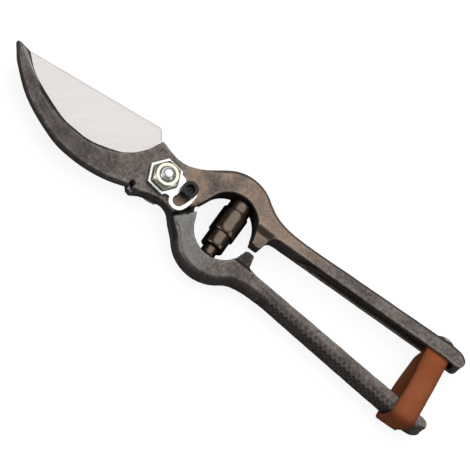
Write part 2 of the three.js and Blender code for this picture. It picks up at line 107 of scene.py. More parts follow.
class ShearsSizes(bpy.types.PropertyGroup):
    """Sizes that the frame doesn't give."""

    lap_gap: length("Lap gap", "Gap between the levers' halves at the pivot", 0.0003)
    flange: length("Flange", "Metal in front of and behind the handle's channel", 0.0012)
    neck: length("Neck", "Distance from the pivot to the straight part of the handle", 0.061)
    bulge: length("Handle bulge", "How far the handle's back swells out between its edges", 0.0005)
    knurl_pitch: length("Knurl pitch", "Distance between the ridges of the chequered grip", 0.0025)
    knurl_depth: length("Knurl depth", "Depth of the pits in the chequered grip", 0.00026)
    bevel_foot: length("Bevel foot", "Metal left under the hook's inner bevel", 0.0007)
    blade_thickness: length("Blade thickness", "Thickness of the blade at its spine", 0.003)
    edge_thickness: length("Edge thickness", "Thickness of the cutting edge", 0.00025)
    thread_pitch: length("Thread pitch", "Pitch of the pivot bolt's thread", 0.001)
    strip: length("Spring strip", "Thickness of the spring's steel strip", 0.0006)
    leather: length("Leather", "Thickness of the strap", 0.0017)
    lever_step: length("Lever step", "Cell size of the levers' distance fields", 0.00036)
    detail_step: length("Detail step", "Cell size of the small pieces' distance fields", 0.00013)


class ShearsColours(bpy.types.PropertyGroup):
    """Colours of the finishes."""

    forged: colour("Forged steel", "Oxide on the forged levers", (0.060, 0.050, 0.045))
    forged_light: colour("Rubbed oxide", "Lighter patches of the oxide", (0.150, 0.126, 0.112))
    bronze: colour("Temper brown", "Brown tint of the hook lever's ring", (0.245, 0.170, 0.120))
    cool: colour("Cool oxide", "Grey tint of the blade lever's ring", (0.160, 0.163, 0.155))
    blade: colour("Ground steel", "Ground face of the blade", (0.53, 0.50, 0.485))
    plated: colour("Bright plating", "Lock plate, nut, bolt and rivet", (0.72, 0.73, 0.71))
    nut: colour("Yellowed plating", "Nut on the pivot bolt", (0.64, 0.63, 0.52))
    black: colour("Black oxide", "Lock screw", (0.012, 0.012, 0.013))
    spring: colour("Spring steel", "Tempered spring strip", (0.098, 0.073, 0.055))
    leather: colour("Tan leather", "Grain side of the strap", (0.35, 0.083, 0.011))
    leather_dark: colour("Burnished leather", "Folds and edges of the strap", (0.19, 0.042, 0.008))
    floor: colour("Floor", "Pale floor", (0.25, 0.25, 0.25))


def sizes():
    return bpy.context.scene.shears_sizes


def colours():
    return bpy.context.scene.shears_colours


def mm(name):
    """A size property in millimetres."""
    return getattr(sizes(), name) / MM


# ---------------------------------------------------------------- outlines and fields


def slice_outline(node, height):
    """The outline of a CAD node at a height, as segments of shape (n, 2, 2)."""
    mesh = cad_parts[node].data
    mesh.calc_loop_triangles()
    corners = np.empty(len(mesh.vertices) * 3, np.float32)
    mesh.vertices.foreach_get("co", corners)
    index = np.empty(len(mesh.loop_triangles) * 3, np.int32)
    mesh.loop_triangles.foreach_get("vertices", index)
    triangles = corners.reshape(-1, 3)[index].reshape(-1, 3, 3) / MM
    above = triangles[:, :, 2] > height
    cut = above.any(1) & ~above.all(1)
    triangles, above = triangles[cut], above[cut]
    points = np.zeros((len(triangles), 3, 2))
    crosses = np.zeros((len(triangles), 3), bool)
    for k in range(3):
        a, b = triangles[:, k], triangles[:, (k + 1) % 3]
        crosses[:, k] = above[:, k] != above[:, (k + 1) % 3]
        rise = np.where(crosses[:, k], b[:, 2] - a[:, 2], 1)
        share = (height - a[:, 2]) / rise
        points[:, k] = a[:, :2] + share[:, None] * (b - a)[:, :2]
    segments = points[crosses].reshape(-1, 2, 2)
    return segments[np.linalg.norm(segments[:, 1] - segments[:, 0], axis=1) > 1e-4]


class Field:
    """A box of cells with their coordinates, on which distances are worked out."""

    REACH = 7.0

    def __init__(self, low, high, step):
        self.low = np.asarray(low, float)
        self.step = step
        counts = np.ceil((np.asarray(high, float) - self.low) / step).astype(int) + 1
        axes = [self.low[i] + step * np.arange(counts[i]) for i in range(3)]
        self.axes = axes
        self.x = axes[0][:, None, None]
        self.y = axes[1][None, :, None]
        self.z = axes[2][None, None, :]

    def flat(self, segments):
        """Signed distance in the plane to an outline, negative inside, no larger than REACH."""
        xs, ys = self.axes[0], self.axes[1]
        nearest = np.full((len(xs), len(ys)), self.REACH**2)
        inside = np.zeros(nearest.shape, bool)
        for a, b in segments:
            low, high = np.minimum(a, b), np.maximum(a, b)
            i0, i1 = np.searchsorted(xs, [low[0] - self.REACH, high[0] + self.REACH])
            j0, j1 = np.searchsorted(ys, [low[1] - self.REACH, high[1] + self.REACH])
            if i1 > i0 and j1 > j0:
                px = xs[i0:i1, None] - a[0]
                py = ys[None, j0:j1] - a[1]
                run = b - a
                share = np.clip((px * run[0] + py * run[1]) / (run @ run), 0, 1)
                gap = (px - share * run[0]) ** 2 + (py - share * run[1]) ** 2
                block = nearest[i0:i1, j0:j1]
                np.minimum(block, gap, out=block)
            j0, j1 = np.searchsorted(ys, [low[1], high[1]])
            if j1 > j0:
                cross = a[0] + (ys[j0:j1] - a[1]) / (b[1] - a[1]) * (b[0] - a[0])
                inside[:, j0:j1] ^= xs[:, None] < cross[None, :]
        return np.where(inside, -1, 1) * np.sqrt(nearest)

    def skin(self, name, field):
        """A smooth-shaded mesh object where the field is zero."""
        grid = openvdb.FloatGrid(self.REACH)
        grid.copyFromArray(np.ascontiguousarray(field, np.float32))
        points, quads = grid.convertToQuads(isovalue=0.0)
        return mesh_object(name, (points * self.step + self.low) * MM, quads)


def extruded(flat, z, low, high, edge):
    """An outline's distance made into a slab from low to high, with rounded edges."""
    across = flat[:, :, None] + edge
    along = np.abs(z - (low + high) / 2) - (high - low) / 2 + edge
    return rounded_overlap(across, along, edge)


def turned(radius, along, rim, low, high, edge):
    """A disc of a rim radius from low to high, with rounded edges."""
    across = radius - rim + edge
    height = np.abs(along - (low + high) / 2) - (high - low) / 2 + edge
    return rounded_overlap(across, height, edge)


def rounded_overlap(across, along, edge):
    inside = np.minimum(np.maximum(across, along), 0)
    return inside + np.hypot(np.maximum(across, 0), np.maximum(along, 0)) - edge


def merged(a, b, blend):
    """Union of two fields with a fillet."""
    mix = np.clip(0.5 + 0.5 * (b - a) / blend, 0, 1)
    return b + (a - b) * mix - blend * mix * (1 - mix)


def carved(a, b, blend):
    """Field a with field b taken away, and the new edges eased."""
    return -merged(-a, b, blend)


def rounded_max(a, b, radius):
    """Overlap of two fields with a rounded edge."""
    past = np.hypot(np.maximum(a + radius, 0), np.maximum(b + radius, 0))
    return np.minimum(np.maximum(a, b), -radius) + past


def ramp(value, start, stop):
    share = np.clip((value - start) / (stop - start), 0, 1)
    return share * share * (3 - 2 * share)


def forging_marks(cells, size, seed):
    """Smooth random waves from -1 to 1 over the cells of a field."""
    picks = np.random.default_rng(seed)
    total = 0
    for _ in range(7):
        direction = picks.normal(size=3)
        direction /= np.linalg.norm(direction)
        pace = 2 * np.pi / (size * picks.uniform(0.6, 1.6))
        turn = picks.uniform(0, 2 * np.pi)
        phase = cells.x * direction[0] + cells.y * direction[1] + cells.z * direction[2]
        total = total + np.sin(phase * pace + turn)
    return total / 7


# ---------------------------------------------------------------- meshes


def mesh_object(name, points, faces):
    """A closed quad or triangle mesh facing outwards, with its bent edges marked for wear and painted
    highlights.
    """
    points = np.asarray(points, np.float32)
    faces = np.asarray(faces, np.int32)
    corners = points[faces]
    fan = np.einsum("ij,ij->i", corners[:, 0], np.cross(corners[:, 1], corners[:, 2])).sum()
    if faces.shape[1] == 4:
        fan += np.einsum("ij,ij->i", corners[:, 0], np.cross(corners[:, 2], corners[:, 3])).sum()
    if fan < 0:
        faces = faces[:, ::-1]
    mesh = bpy.data.meshes.new(name)
    mesh.vertices.add(len(points))
    mesh.vertices.foreach_set("co", points.ravel())
    mesh.loops.add(faces.size)
    mesh.loops.foreach_set("vertex_index", faces.ravel())
    mesh.polygons.add(len(faces))
    mesh.polygons.foreach_set("loop_start", np.arange(len(faces), dtype=np.int32) * faces.shape[1])
    mesh.polygons.foreach_set("use_smooth", np.ones(len(faces), bool))
    mesh.update(calc_edges=True)
    mesh.validate()
    made = bpy.data.objects.new(name, mesh)
    bpy.context.scene.collection.objects.link(made)
    mark_edges(made)
    return made


def vertex_places(mesh):
    """Coordinates of a mesh's vertices, of shape (n, 3)."""
    places = np.empty(len(mesh.vertices) * 3, np.float32)
    mesh.vertices.foreach_get("co", places)
    return places.reshape(-1, 3)


def vertex_values(mesh, name):
    values = np.empty(len(mesh.vertices), np.float32)
    mesh.attributes[name].data.foreach_get("value", values)
    return values


def store_values(mesh, name, values):
    stored = mesh.attributes.get(name) or mesh.attributes.new(name, "FLOAT", "POINT")
    stored.data.foreach_set("value", values.astype(np.float32))


def mark_edges(made, passes=3):
    """Stores how sharply the surface bends out at each point, from 0 to 1, for the wear and the painted
    highlights on edges.
    """
    mesh = made.data
    count = len(mesh.vertices)
    points = vertex_places(mesh)
    normals = np.empty(count * 3, np.float32)
    mesh.vertex_normals.foreach_get("vector", normals)
    normals = normals.reshape(-1, 3)
    ends = np.empty(len(mesh.edges) * 2, np.int32)
    mesh.edges.foreach_get("vertices", ends)
    ends = ends.reshape(-1, 2)
    a, b = ends[:, 0], ends[:, 1]
    degree = np.maximum(np.bincount(ends.ravel(), minlength=count), 1)

    def average(values):
        total = np.bincount(a, values[b], count) + np.bincount(b, values[a], count)
        return total / degree

    centre = np.stack([average(points[:, k]) for k in range(3)], 1)
    spacing = np.linalg.norm(points[a] - points[b], axis=1).mean()
    bend = ((points - centre) * normals).sum(1) / spacing
    for _ in range(passes):
        bend = 0.5 * bend + 0.5 * average(bend)
    store_values(mesh, "edge", np.clip(bend * 6, 0, 1))


def ring_faces(rings, around, closed):
    """Quads between rings of points, each ring closed on itself."""
    faces = []
    for i in range(rings if closed else rings - 1):
        j = (i + 1) % rings
        for k in range(around):
            n = (k + 1) % around
            faces.append((i * around + k, i * around + n, j * around + n, j * around + k))
    return faces


def swept(name, rings, closed=False):
    """A solid swept through rings of points, of shape (rings, around, 3), in metres."""
    count, around = rings.shape[:2]
    points = rings.reshape(-1, 3)
    faces = ring_faces(count, around, closed)
    if not closed:
        points, faces = add_caps(points, faces, count, around)
    return mesh_object(name, points, np.array(faces))


def add_caps(points, faces, count, around):
    """Closes the first and last ring with strips of quads across the ring."""
    last = (count - 1) * around
    half = around // 2
    for k in range(half - 1):
        a, b = k, k + 1
        c, d = around - 2 - k, around - 1 - k
        faces.append((a, d, c, b))
        faces.append((last + a, last + b, last + c, last + d))
    return points, faces


# ---------------------------------------------------------------- shader building


class Shader:
    """Adds and links nodes in one tree."""

    def __init__(self, tree):
        self.tree = tree

    def add(self, kind, inputs=None, **settings):
        node = self.tree.nodes.new(kind)
        for key, value in settings.items():
            setattr(node, key, value)
        for key, value in (inputs or {}).items():
            if isinstance(value, bpy.types.NodeSocket):
                self.tree.links.new(value, node.inputs[key])
            else:
                node.inputs[key].default_value = value
        return node

    def math(self, operation, a, b=0.0, clamp=False):
        return self.add("ShaderNodeMath", {0: a, 1: b}, operation=operation, use_clamp=clamp).outputs[0]

    def ramp(self, value, low, high, low_out=0.0, high_out=1.0):
        inputs = {"Value": value, "From Min": low, "From Max": high, "To Min": low_out, "To Max": high_out}
        return self.add("ShaderNodeMapRange", inputs, interpolation_type="SMOOTHSTEP").outputs[0]

    def mix(self, factor, a, b):
        node = self.add("ShaderNodeMix", data_type="RGBA")
        for key, value in ((0, factor), (6, a), (7, b)):
            if isinstance(value, bpy.types.NodeSocket):
                self.tree.links.new(value, node.inputs[key])
            elif key:
                node.inputs[key].default_value = rgba(value)
            else:
                node.inputs[key].default_value = value
        return node.outputs[2]

    def noise(self, place, scale, detail=4.0, roughness=0.55):
        inputs = {"Vector": place, "Scale": scale, "Detail": detail, "Roughness": roughness}
        return self.add("ShaderNodeTexNoise", inputs).outputs["Fac"]


def rgba(value):
    return (*tuple(value)[:3], 1.0)


def new_group(name, inputs, outputs):
    """A shader node group with named sockets. Returns the group, its builder and its inputs."""
    group = bpy.data.node_groups.new(name, "ShaderNodeTree")
    for label, kind, default in inputs:
        socket = group.interface.new_socket(name=label, in_out="INPUT", socket_type=kind)
        if default is not None:
            socket.default_value = default
    for label, kind in outputs:
        group.interface.new_socket(name=label, in_out="OUTPUT", socket_type=kind)
    build = Shader(group)
    given = build.add("NodeGroupInput").outputs
    return group, build, given


def place_coordinates(build):
    return build.add("ShaderNodeTexCoord").outputs["Object"]


def mottle_group():
    """Cloudy patches, light specks, dark pits and a surface height that the rough finishes share."""
    group, build, given = new_group(
        "Mottle",
        [("Scale", "NodeSocketFloat", 1.0), ("Speck Size", "NodeSocketFloat", 1.0)],
        [(label, "NodeSocketFloat") for label in ("Patches", "Specks", "Pits", "Height")],
    )
    place = place_coordinates(build)
    broad = build.noise(place, build.math("MULTIPLY", given["Scale"], 120.0), 5.0, 0.6)
    small = build.noise(place, build.math("MULTIPLY", given["Scale"], 620.0), 4.0, 0.65)
    patches = build.math("ADD", build.math("MULTIPLY", broad, 0.55), build.math("MULTIPLY", small, 0.45))
    dots = build.noise(place, build.math("DIVIDE", 1600.0, given["Speck Size"]), 2.0, 0.5)
    inputs = {
        "Patches": build.ramp(patches, 0.34, 0.66),
        "Specks": build.ramp(dots, 0.50, 0.72),
        "Pits": build.ramp(dots, 0.50, 0.28),
        "Height": build.math("ADD", build.math("MULTIPLY", small, 0.6), build.math("MULTIPLY", dots, 0.6)),
    }
    build.add("NodeGroupOutput", inputs)
    return group


def facing_group():
    """1 where the piece's surface faces its front or back, 0 on its sides."""
    group, build, given = new_group(
        "Flat Faces",
        [("Start", "NodeSocketFloat", 0.6), ("Full", "NodeSocketFloat", 0.97)],
        [("Mask", "NodeSocketFloat")],
    )
    normal = build.add("ShaderNodeTexCoord").outputs["Normal"]
    height = build.add("ShaderNodeSeparateXYZ", {0: normal}).outputs["Z"]
    mask = build.ramp(build.math("ABSOLUTE", height), given["Start"], given["Full"])
    build.add("NodeGroupOutput", {"Mask": mask})
    return group


def bent_edge_group():
    """Mask on sharply bent edges, broken up so that it doesn't look drawn: rubbed wear, and on the forging's
    rims and the rivet cap a painted highlight.
    """
    group, build, given = new_group(
        "Bent Edge Mask",
        [("Amount", "NodeSocketFloat", 1.0)],
        [("Mask", "NodeSocketFloat")],
    )
    bend = build.add("ShaderNodeAttribute", attribute_name="edge").outputs["Fac"]
    broken = build.ramp(build.noise(place_coordinates(build), 600.0, 5.0, 0.7), 0.3, 0.7)
    share = build.math("MULTIPLY", build.math("MULTIPLY", bend, given["Amount"]), broken)
    build.add("NodeGroupOutput", {"Mask": build.math("MINIMUM", share, 1.0)})
    return group


def grain_group():
    """Fine grinding lines along one direction, as a height and a mask."""
    group, build, given = new_group(
        "Ground Grain",
        [("Angle", "NodeSocketFloat", 0.0), ("Fineness", "NodeSocketFloat", 1.0)],
        [("Lines", "NodeSocketFloat"), ("Smears", "NodeSocketFloat")],
    )
    turned_place = build.add(
        "ShaderNodeVectorRotate",
        {"Vector": place_coordinates(build), "Angle": given["Angle"]},
        rotation_type="Z_AXIS",
    ).outputs[0]
    stretch = build.add(
        "ShaderNodeVectorMath",
        {0: turned_place, 1: (0.03, 1.0, 0.4)},
        operation="MULTIPLY",
    ).outputs[0]
    lines = build.noise(stretch, build.math("MULTIPLY", given["Fineness"], 2600.0), 5.0, 0.7)
    smears = build.noise(stretch, build.math("MULTIPLY", given["Fineness"], 900.0), 4.0, 0.6)
    build.add("NodeGroupOutput", {"Lines": lines, "Smears": build.ramp(smears, 0.3, 0.7)})
    return group


GROUPS = {
    "Mottle": mottle_group,
    "Flat Faces": facing_group,
    "Bent Edge Mask": bent_edge_group,
    "Ground Grain": grain_group,
}


def use_group(build, key, **inputs):
    """Places a shared group, building it the first time."""
    group = bpy.data.node_groups.get(key) or GROUPS[key]()
    node = build.add("ShaderNodeGroup", node_tree=group)
    for label, value in inputs.items():
        socket = node.inputs[label.replace("_", " ").title()]
        socket.default_value = value
    return node.outputs


def new_material(name, maker):
    """A material whose maker links the inputs of its Principled shader."""
    material = bpy.data.materials.get(name)
    if material:
        return material
    material = bpy.data.materials.new(name)
    material.use_nodes = True
    tree = material.node_tree
    tree.nodes.clear()
    build = Shader(tree)
    surface = build.add("ShaderNodeBsdfPrincipled")
    output = build.add("ShaderNodeOutputMaterial")
    tree.links.new(surface.outputs[0], output.inputs[0])
    for key, value in maker(build).items():
        if isinstance(value, bpy.types.NodeSocket):
            tree.links.new(value, surface.inputs[key])
        elif key == "Base Color":
            surface.inputs[key].default_value = rgba(value)
        else:
            surface.inputs[key].default_value = value
    return material


def bump(build, height, distance, strength=1.0):
    inputs = {"Height": height, "Distance": distance, "Strength": strength}
    return build.add("ShaderNodeBump", inputs).outputs[0]


def forged_finish(build, tint, tint_from, tint_to):
    """Oxidised forged steel: cloudy, specked and pitted, tinted round the ring, with painted shade on its
    sides, painted shade where the scale attribute is set, and edges lightened partly as wear and partly as
    painted highlight.
    """
    c = colours()
    marks = use_group(build, "Mottle", scale=1.0, speck_size=1.0)
    edge_mask = use_group(build, "Bent Edge Mask", amount=1.4)["Mask"]
    flat = use_group(build, "Flat Faces", start=0.25, full=0.97)["Mask"]
    place = place_coordinates(build)
    along = build.add("ShaderNodeSeparateXYZ", {0: place}).outputs["X"]
    ring = build.math("MULTIPLY", build.ramp(along, -0.002, 0.012), build.ramp(along, tint_to, tint_from))
    cloud = build.ramp(build.noise(place, 60.0, 3.0), 0.22, 0.52)
    tone = build.mix(marks["Patches"], c.forged, c.forged_light)
    tone = build.mix(build.math("MULTIPLY", build.math("MULTIPLY", ring, cloud), 0.75), tone, tint)
    tone = build.mix(build.math("MULTIPLY", marks["Specks"], 0.35), tone, (0.26, 0.25, 0.235))
    tone = build.mix(build.math("MULTIPLY", marks["Pits"], 0.42), tone, (0.034, 0.026, 0.024))
    jaw = build.math("MULTIPLY", build.ramp(along, -0.004, -0.040), 0.55)
    tone = build.mix(jaw, tone, (0.040, 0.035, 0.032))
    # painted shade: faces turned away from front and back, the sides, get a darker brown as if shaded
    shade = build.mix(marks["Patches"], (0.048, 0.035, 0.033), (0.095, 0.072, 0.068))
    tone = build.mix(build.math("MULTIPLY", build.math("SUBTRACT", 1.0, flat), 0.8), tone, shade)
    # bent edges lightened: rubbed wear, and along the channel's flanges a painted rim highlight
    tone = build.mix(build.math("MULTIPLY", edge_mask, 0.65), tone, (0.40, 0.36, 0.33))
    # the scale attribute holds painted shade on the hook's bevel, the stop lugs and the pivot's step, with
    # the darkened chequering: near black, duller and less metallic
    shadowed = build.add("ShaderNodeAttribute", attribute_name="scale").outputs["Fac"]
    tone = build.mix(build.math("MULTIPLY", shadowed, 0.85), tone, (0.012, 0.009, 0.009))
    dulled = build.math("MULTIPLY", shadowed, 0.4)
    # filed strip at the hook's tip: bright filed steel with a painted highlight
    filed_sheen = build.add("ShaderNodeAttribute", attribute_name="filed_sheen").outputs["Fac"]
    tone = build.mix(filed_sheen, tone, (0.66, 0.60, 0.58))
    return {
        "Base Color": tone,
        "Metallic": build.math("MULTIPLY", build.math("SUBTRACT", 1.0, shadowed), 0.75),
        "Roughness": build.math("ADD", build.ramp(marks["Patches"], 0.0, 1.0, 0.50, 0.36), dulled),
        "Specular IOR Level": 0.3,
        "Normal": bump(build, marks["Height"], 0.00016, 0.6),
    }


def hook_forging_finish(build):
    return forged_finish(build, colours().bronze, 0.050, 0.085)


def blade_forging_finish(build):
    return forged_finish(build, colours().cool, 0.024, 0.040)


def blade_finish(build):
    """Fine ground steel, almost white, with faint lines across the blade."""
    c = colours()
    lines = use_group(build, "Ground Grain", angle=-0.75, fineness=1.0)
    edge_mask = use_group(build, "Bent Edge Mask", amount=0.5)["Mask"]
    tone = build.mix(lines["Smears"], c.blade, tuple(0.965 * v for v in c.blade))
    tone = build.mix(build.math("MULTIPLY", edge_mask, 0.5), tone, (0.5, 0.5, 0.5))
    return {
        "Base Color": tone,
        "Metallic": 0.9,
        "Roughness": build.ramp(lines["Lines"], 0.2, 0.8, 0.34, 0.44),
        "Normal": bump(build, lines["Lines"], 0.00002, 0.25),
    }


def nut_finish(build):
    return plated_finish(build, colours().nut)


def plated_finish(build, tint=None):
    """Bright zinc plating with a slight cloudiness."""
    tint = tint or colours().plated
    marks = use_group(build, "Mottle", scale=2.0, speck_size=0.7)
    edge_mask = use_group(build, "Bent Edge Mask", amount=0.6)["Mask"]
    tone = build.mix(marks["Patches"], tint, tuple(0.88 * v for v in tint))
    tone = build.mix(build.math("MULTIPLY", edge_mask, 0.4), tone, (0.95, 0.95, 0.93))
    return {
        "Base Color": tone,
        "Metallic": 1.0,
        "Roughness": build.ramp(marks["Patches"], 0.0, 1.0, 0.26, 0.36),
        "Normal": bump(build, marks["Height"], 0.00002, 0.3),
    }


def cap_finish(build):
    """Nickel on the rivet's cap with its reflections painted in: a dark body as a painted dark reflection,
    bright only round its rim as a painted highlight.
    """
    marks = use_group(build, "Mottle", scale=2.0, speck_size=0.7)
    edge_mask = use_group(build, "Bent Edge Mask", amount=2.0)["Mask"]
    # painted reflection: dark base for the dark surroundings mirrored in the dome, painted highlight on the
    # rim
    return {
        "Base Color": build.mix(edge_mask, build.mix(marks["Patches"], (0.05, 0.048, 0.045), (0.09, 0.085, 0.08)),
                                (0.75, 0.74, 0.72)),
        "Metallic": 1.0,
        "Roughness": build.ramp(marks["Patches"], 0.0, 1.0, 0.25, 0.35),
        "Normal": bump(build, marks["Height"], 0.00002, 0.3),
    }


def black_finish(build):
    """Black oxide with rubbed edges."""
    c = colours()
    marks = use_group(build, "Mottle", scale=2.5, speck_size=0.6)
    edge_mask = use_group(build, "Bent Edge Mask", amount=0.8)["Mask"]
    tone = build.mix(build.math("MULTIPLY", marks["Patches"], 0.5), c.black, (0.03, 0.03, 0.032))
    tone = build.mix(build.math("MULTIPLY", edge_mask, 0.5), tone, (0.12, 0.12, 0.12))
    return {
        "Base Color": tone,
        "Metallic": 0.6,
        "Roughness": build.ramp(marks["Patches"], 0.0, 1.0, 0.38, 0.52),
        "Normal": bump(build, marks["Height"], 0.00004, 0.4),
    }


def spring_finish(build):
    """Glossy dark tempered steel, hardly marked."""
    c = colours()
    marks = use_group(build, "Mottle", scale=1.6, speck_size=0.8)
    edge_mask = use_group(build, "Bent Edge Mask", amount=0.7)["Mask"]
    lighter = tuple(1.4 * v for v in c.spring)
    tone = build.mix(build.math("MULTIPLY", marks["Patches"], 0.5), c.spring, lighter)
    tone = build.mix(build.math("MULTIPLY", edge_mask, 0.3), tone, (0.30, 0.26, 0.23))
    return {
        "Base Color": tone,
        "Metallic": 1.0,
        "Roughness": build.ramp(marks["Patches"], 0.0, 1.0, 0.23, 0.29),
        "Normal": bump(build, marks["Height"], 0.00002, 0.12),
    }


def leather_finish(build):
    """Smooth tan leather: pores, soft creases, darker rubbed edges and painted shade on the loop's inner
    face.
    """
    c = colours()
    place = place_coordinates(build)
    pores = build.add("ShaderNodeTexVoronoi", {"Vector": place, "Scale": 1900.0}, feature="DISTANCE_TO_EDGE")
    pore = build.ramp(pores.outputs["Distance"], 0.02, 0.16)
    cloud = build.ramp(build.noise(place, 70.0, 4.0, 0.6), 0.3, 0.7)
    creases = build.noise(place, 330.0, 5.0, 0.6)
    edge = build.add("ShaderNodeAttribute", attribute_name="edge").outputs["Fac"]
    tone = build.mix(build.math("MULTIPLY", cloud, 0.35), c.leather, c.leather_dark)
    tone = build.mix(build.math("MULTIPLY", build.math("SUBTRACT", 1.0, pore), 0.25), tone, c.leather_dark)
    # the edge attribute carries both the burnished edges and the painted shade on the loop's inner face
    burnished_and_shade = tuple(0.55 * v for v in c.leather_dark)
    tone = build.mix(build.math("MULTIPLY", edge, 0.95, clamp=True), tone, burnished_and_shade)
    height = build.math("ADD", build.math("MULTIPLY", pore, 0.5), creases)
    return {
        "Base Color": tone,
        "Roughness": build.ramp(cloud, 0.0, 1.0, 0.5, 0.62),
        "Normal": bump(build, height, 0.00009, 0.4),
        "Specular IOR Level": 0.3,
    }


def floor_finish(build):
    """Matt pale floor, lit from below for the camera so that shadows stay light."""
    c = colours()
    cloud = build.ramp(build.noise(place_coordinates(build), 3.0, 3.0), 0.3, 0.7)
    tone = build.mix(cloud, c.floor, tuple(0.985 * v for v in c.floor))
    seen = build.add("ShaderNodeLightPath").outputs["Is Camera Ray"]
    return {
        "Base Color": tone,
        "Roughness": 0.75,
        "Specular IOR Level": 0.2,
        "Emission Color": (1.0, 1.0, 1.0, 1.0),
        "Emission Strength": build.math("MULTIPLY", seen, 0.86),
    }


def finish_piece(piece, material_name, maker, body, slot, *nodes):
    """Gives a piece its material and body, and hides the CAD nodes that it stands for. The slot argument is
    not used.
    """
    piece.data.materials.append(new_material(material_name, maker))
    if nodes:
        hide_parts(*nodes)
    if body:
        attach(piece, body)
    return piece


# ---------------------------------------------------------------- levers


def cell(name):
    """Cell size in millimetres, coarser while trying things out."""
    return mm(name) * 1.0


def grip_outer(x, side):
    """Y of a handle's back along X, measured on the CAD lever's own outline."""
    node = "hook_lever" if side > 0 else "blade_lever"
    outline = slice_outline(node, BACK + 0.5)
    a, b = outline[:, 0], outline[:, 1]
    stations = np.linspace(mm("neck") + 8, node_box("leather_strap")[0][0], 8)
    backs = []
    for station in stations:
        hit = (a[:, 0] > station) != (b[:, 0] > station)
        share = (station - a[hit, 0]) / (b[hit, 0] - a[hit, 0])
        backs.append(((a[hit, 1] + share * (b[hit, 1] - a[hit, 1])) * side).max() * side)
    return np.polyval(np.polyfit(stations, backs, 1), x)


def outer_share(cells):
    """1 along the outer side of rings and handles, 0 along their inner side and round the pivot."""
    x, y = cells.x[:, :, 0], np.abs(cells.y[:, :, 0])
    ring = ramp(np.hypot(x - RING_X, y - 4.4), 13.2, 14.8)
    middle = 11.9 + 0.055 * (x - 61)
    handle = ramp(y, middle - 0.6, middle + 0.6)
    along = ramp(x, 43.0, 50.0)
    return (ring * (1 - along) + handle * along) * ramp(x, 11.0, 17.0)


def edge_radius(cells):
    """Radius of the front and back edges over the plane of a lever."""
    x = cells.x[:, :, 0]
    belly = 0.8 * (1 - ramp(x, -14.0, -9.0))
    return 0.55 + belly + 2.0 * outer_share(cells)


def grown(flat, edge):
    """An outline moved out by what rounded edges take from it, seen at a slant."""
    return flat - 0.3 * (edge - 0.3)


def swollen_back(cells, side):
    """How far the handle's back is drawn in towards its front and back edges."""
    start = ramp(cells.x, mm("neck") - 14, mm("neck") + 2)
    height = np.clip(np.abs(cells.z - MIDDLE) / ((FRONT - BACK) / 2), 0, 1)
    outer = grip_outer(cells.x, side) * side
    near_back = ramp(cells.y * side, outer - 3.6, outer - 1.2)
    return mm("bulge") * start * height**2 * near_back


def chequered_zone(x, y, z, side, stop):
    """1 on the chequered part of a handle's back, which laps over the lower handle's front edge."""
    outer = grip_outer(x, side) * side
    reach = np.where(z > MIDDLE, 3.6 if side > 0 else 6.8, 3.6)
    along = ramp(x, mm("neck"), mm("neck") + 1.2) * (1 - ramp(x, stop - 1.2, stop))
    on_back = ramp(y * side, outer - 4.4, outer - 3.4)
    return on_back * along * (1 - ramp(np.abs(round_edge(x, y, z, side)), reach - 1.6, reach))


def round_edge(x, y, z, side):
    """Distance over a handle's back from its middle line, followed round onto its faces."""
    past = np.clip(grip_outer(x, side) * side - y * side, 0, 5)
    return (z - MIDDLE) + np.sign(z - MIDDLE) * 0.75 * past


def pits(x, y, z, side):
    """1 in the pits and 0 on the crossed ridges of the chequering."""
    depth = 1
    for lean in (-1, 1):
        phase = (x + lean * 0.62 * round_edge(x, y, z, side)) / mm("knurl_pitch")
        off = np.abs(phase - np.round(phase)) * 2
        depth = np.minimum(depth, ramp(off, 0.16, 0.62))
    return depth


def chequering(cells, side, stop):
    """Depth of the chequering at each cell."""
    zone = chequered_zone(cells.x, cells.y, cells.z, side, stop)
    return mm("knurl_depth") * zone * pits(cells.x, cells.y, cells.z, side)


def rub_ridges(lever, side, stop):
    """Rubs the chequering's ridges bright and darkens its pits, and paints shade on the stop lug and a shadow
    at the pivot's step.
    """
    x, y, z = vertex_places(lever.data).T / MM
    worn = vertex_values(lever.data, "edge")
    zone = chequered_zone(x, y, z, side, stop)
    ridges = zone * (1 - pits(x, y, z, side))
    store_values(lever.data, "edge", np.maximum(worn, 0.5 * ridges))
    dark = zone * (0.22 + 0.38 * pits(x, y, z, side))
    # painted shade on the stop lug's sloped face
    lug = ramp(x, 39.5, 42.0) * (1 - ramp(x, 48.0, 50.5)) * (1 - ramp(np.abs(y), 5.0, 8.0))
    dark = np.maximum(dark, (0.25 if side > 0 else 0.6) * lug)
    # painted shadow on the blade lever's lap along the pivot's step
    if side < 0:
        in_lap = ramp(z, MIDDLE - 0.8, MIDDLE - 0.4) * (1 - ramp(z, FRONT - 1.6, FRONT - 0.8))
        dark = np.maximum(dark, in_lap * (1 - ramp(x, *LAP_STEP)))
    # the scale attribute carries this darkening, painted shade included
    store_values(lever.data, "scale", dark)


def spring_nipple(cells, side):
    """The cone on the ring's inside that holds the spring's end."""
    away = np.hypot(cells.x - SPRING_X, cells.z - MIDDLE)
    length_in = SPRING_END + 1.0 - cells.y * side
    radius = 1.8 - 0.12 * np.clip(length_in, 0, 5)
    return np.maximum(away - radius, np.maximum(length_in - 4.2, -length_in - 1.5))


def lug_relief(cells):
    """Metal taken off the outline where the stop lugs meet."""
    x, y = cells.x[:, :, 0], np.abs(cells.y[:, :, 0])
    return 0.45 * ramp(x, 38.0, 39.5) * (1 - ramp(x, 50.0, 52.0)) * (1 - ramp(y, 3.0, 5.0))


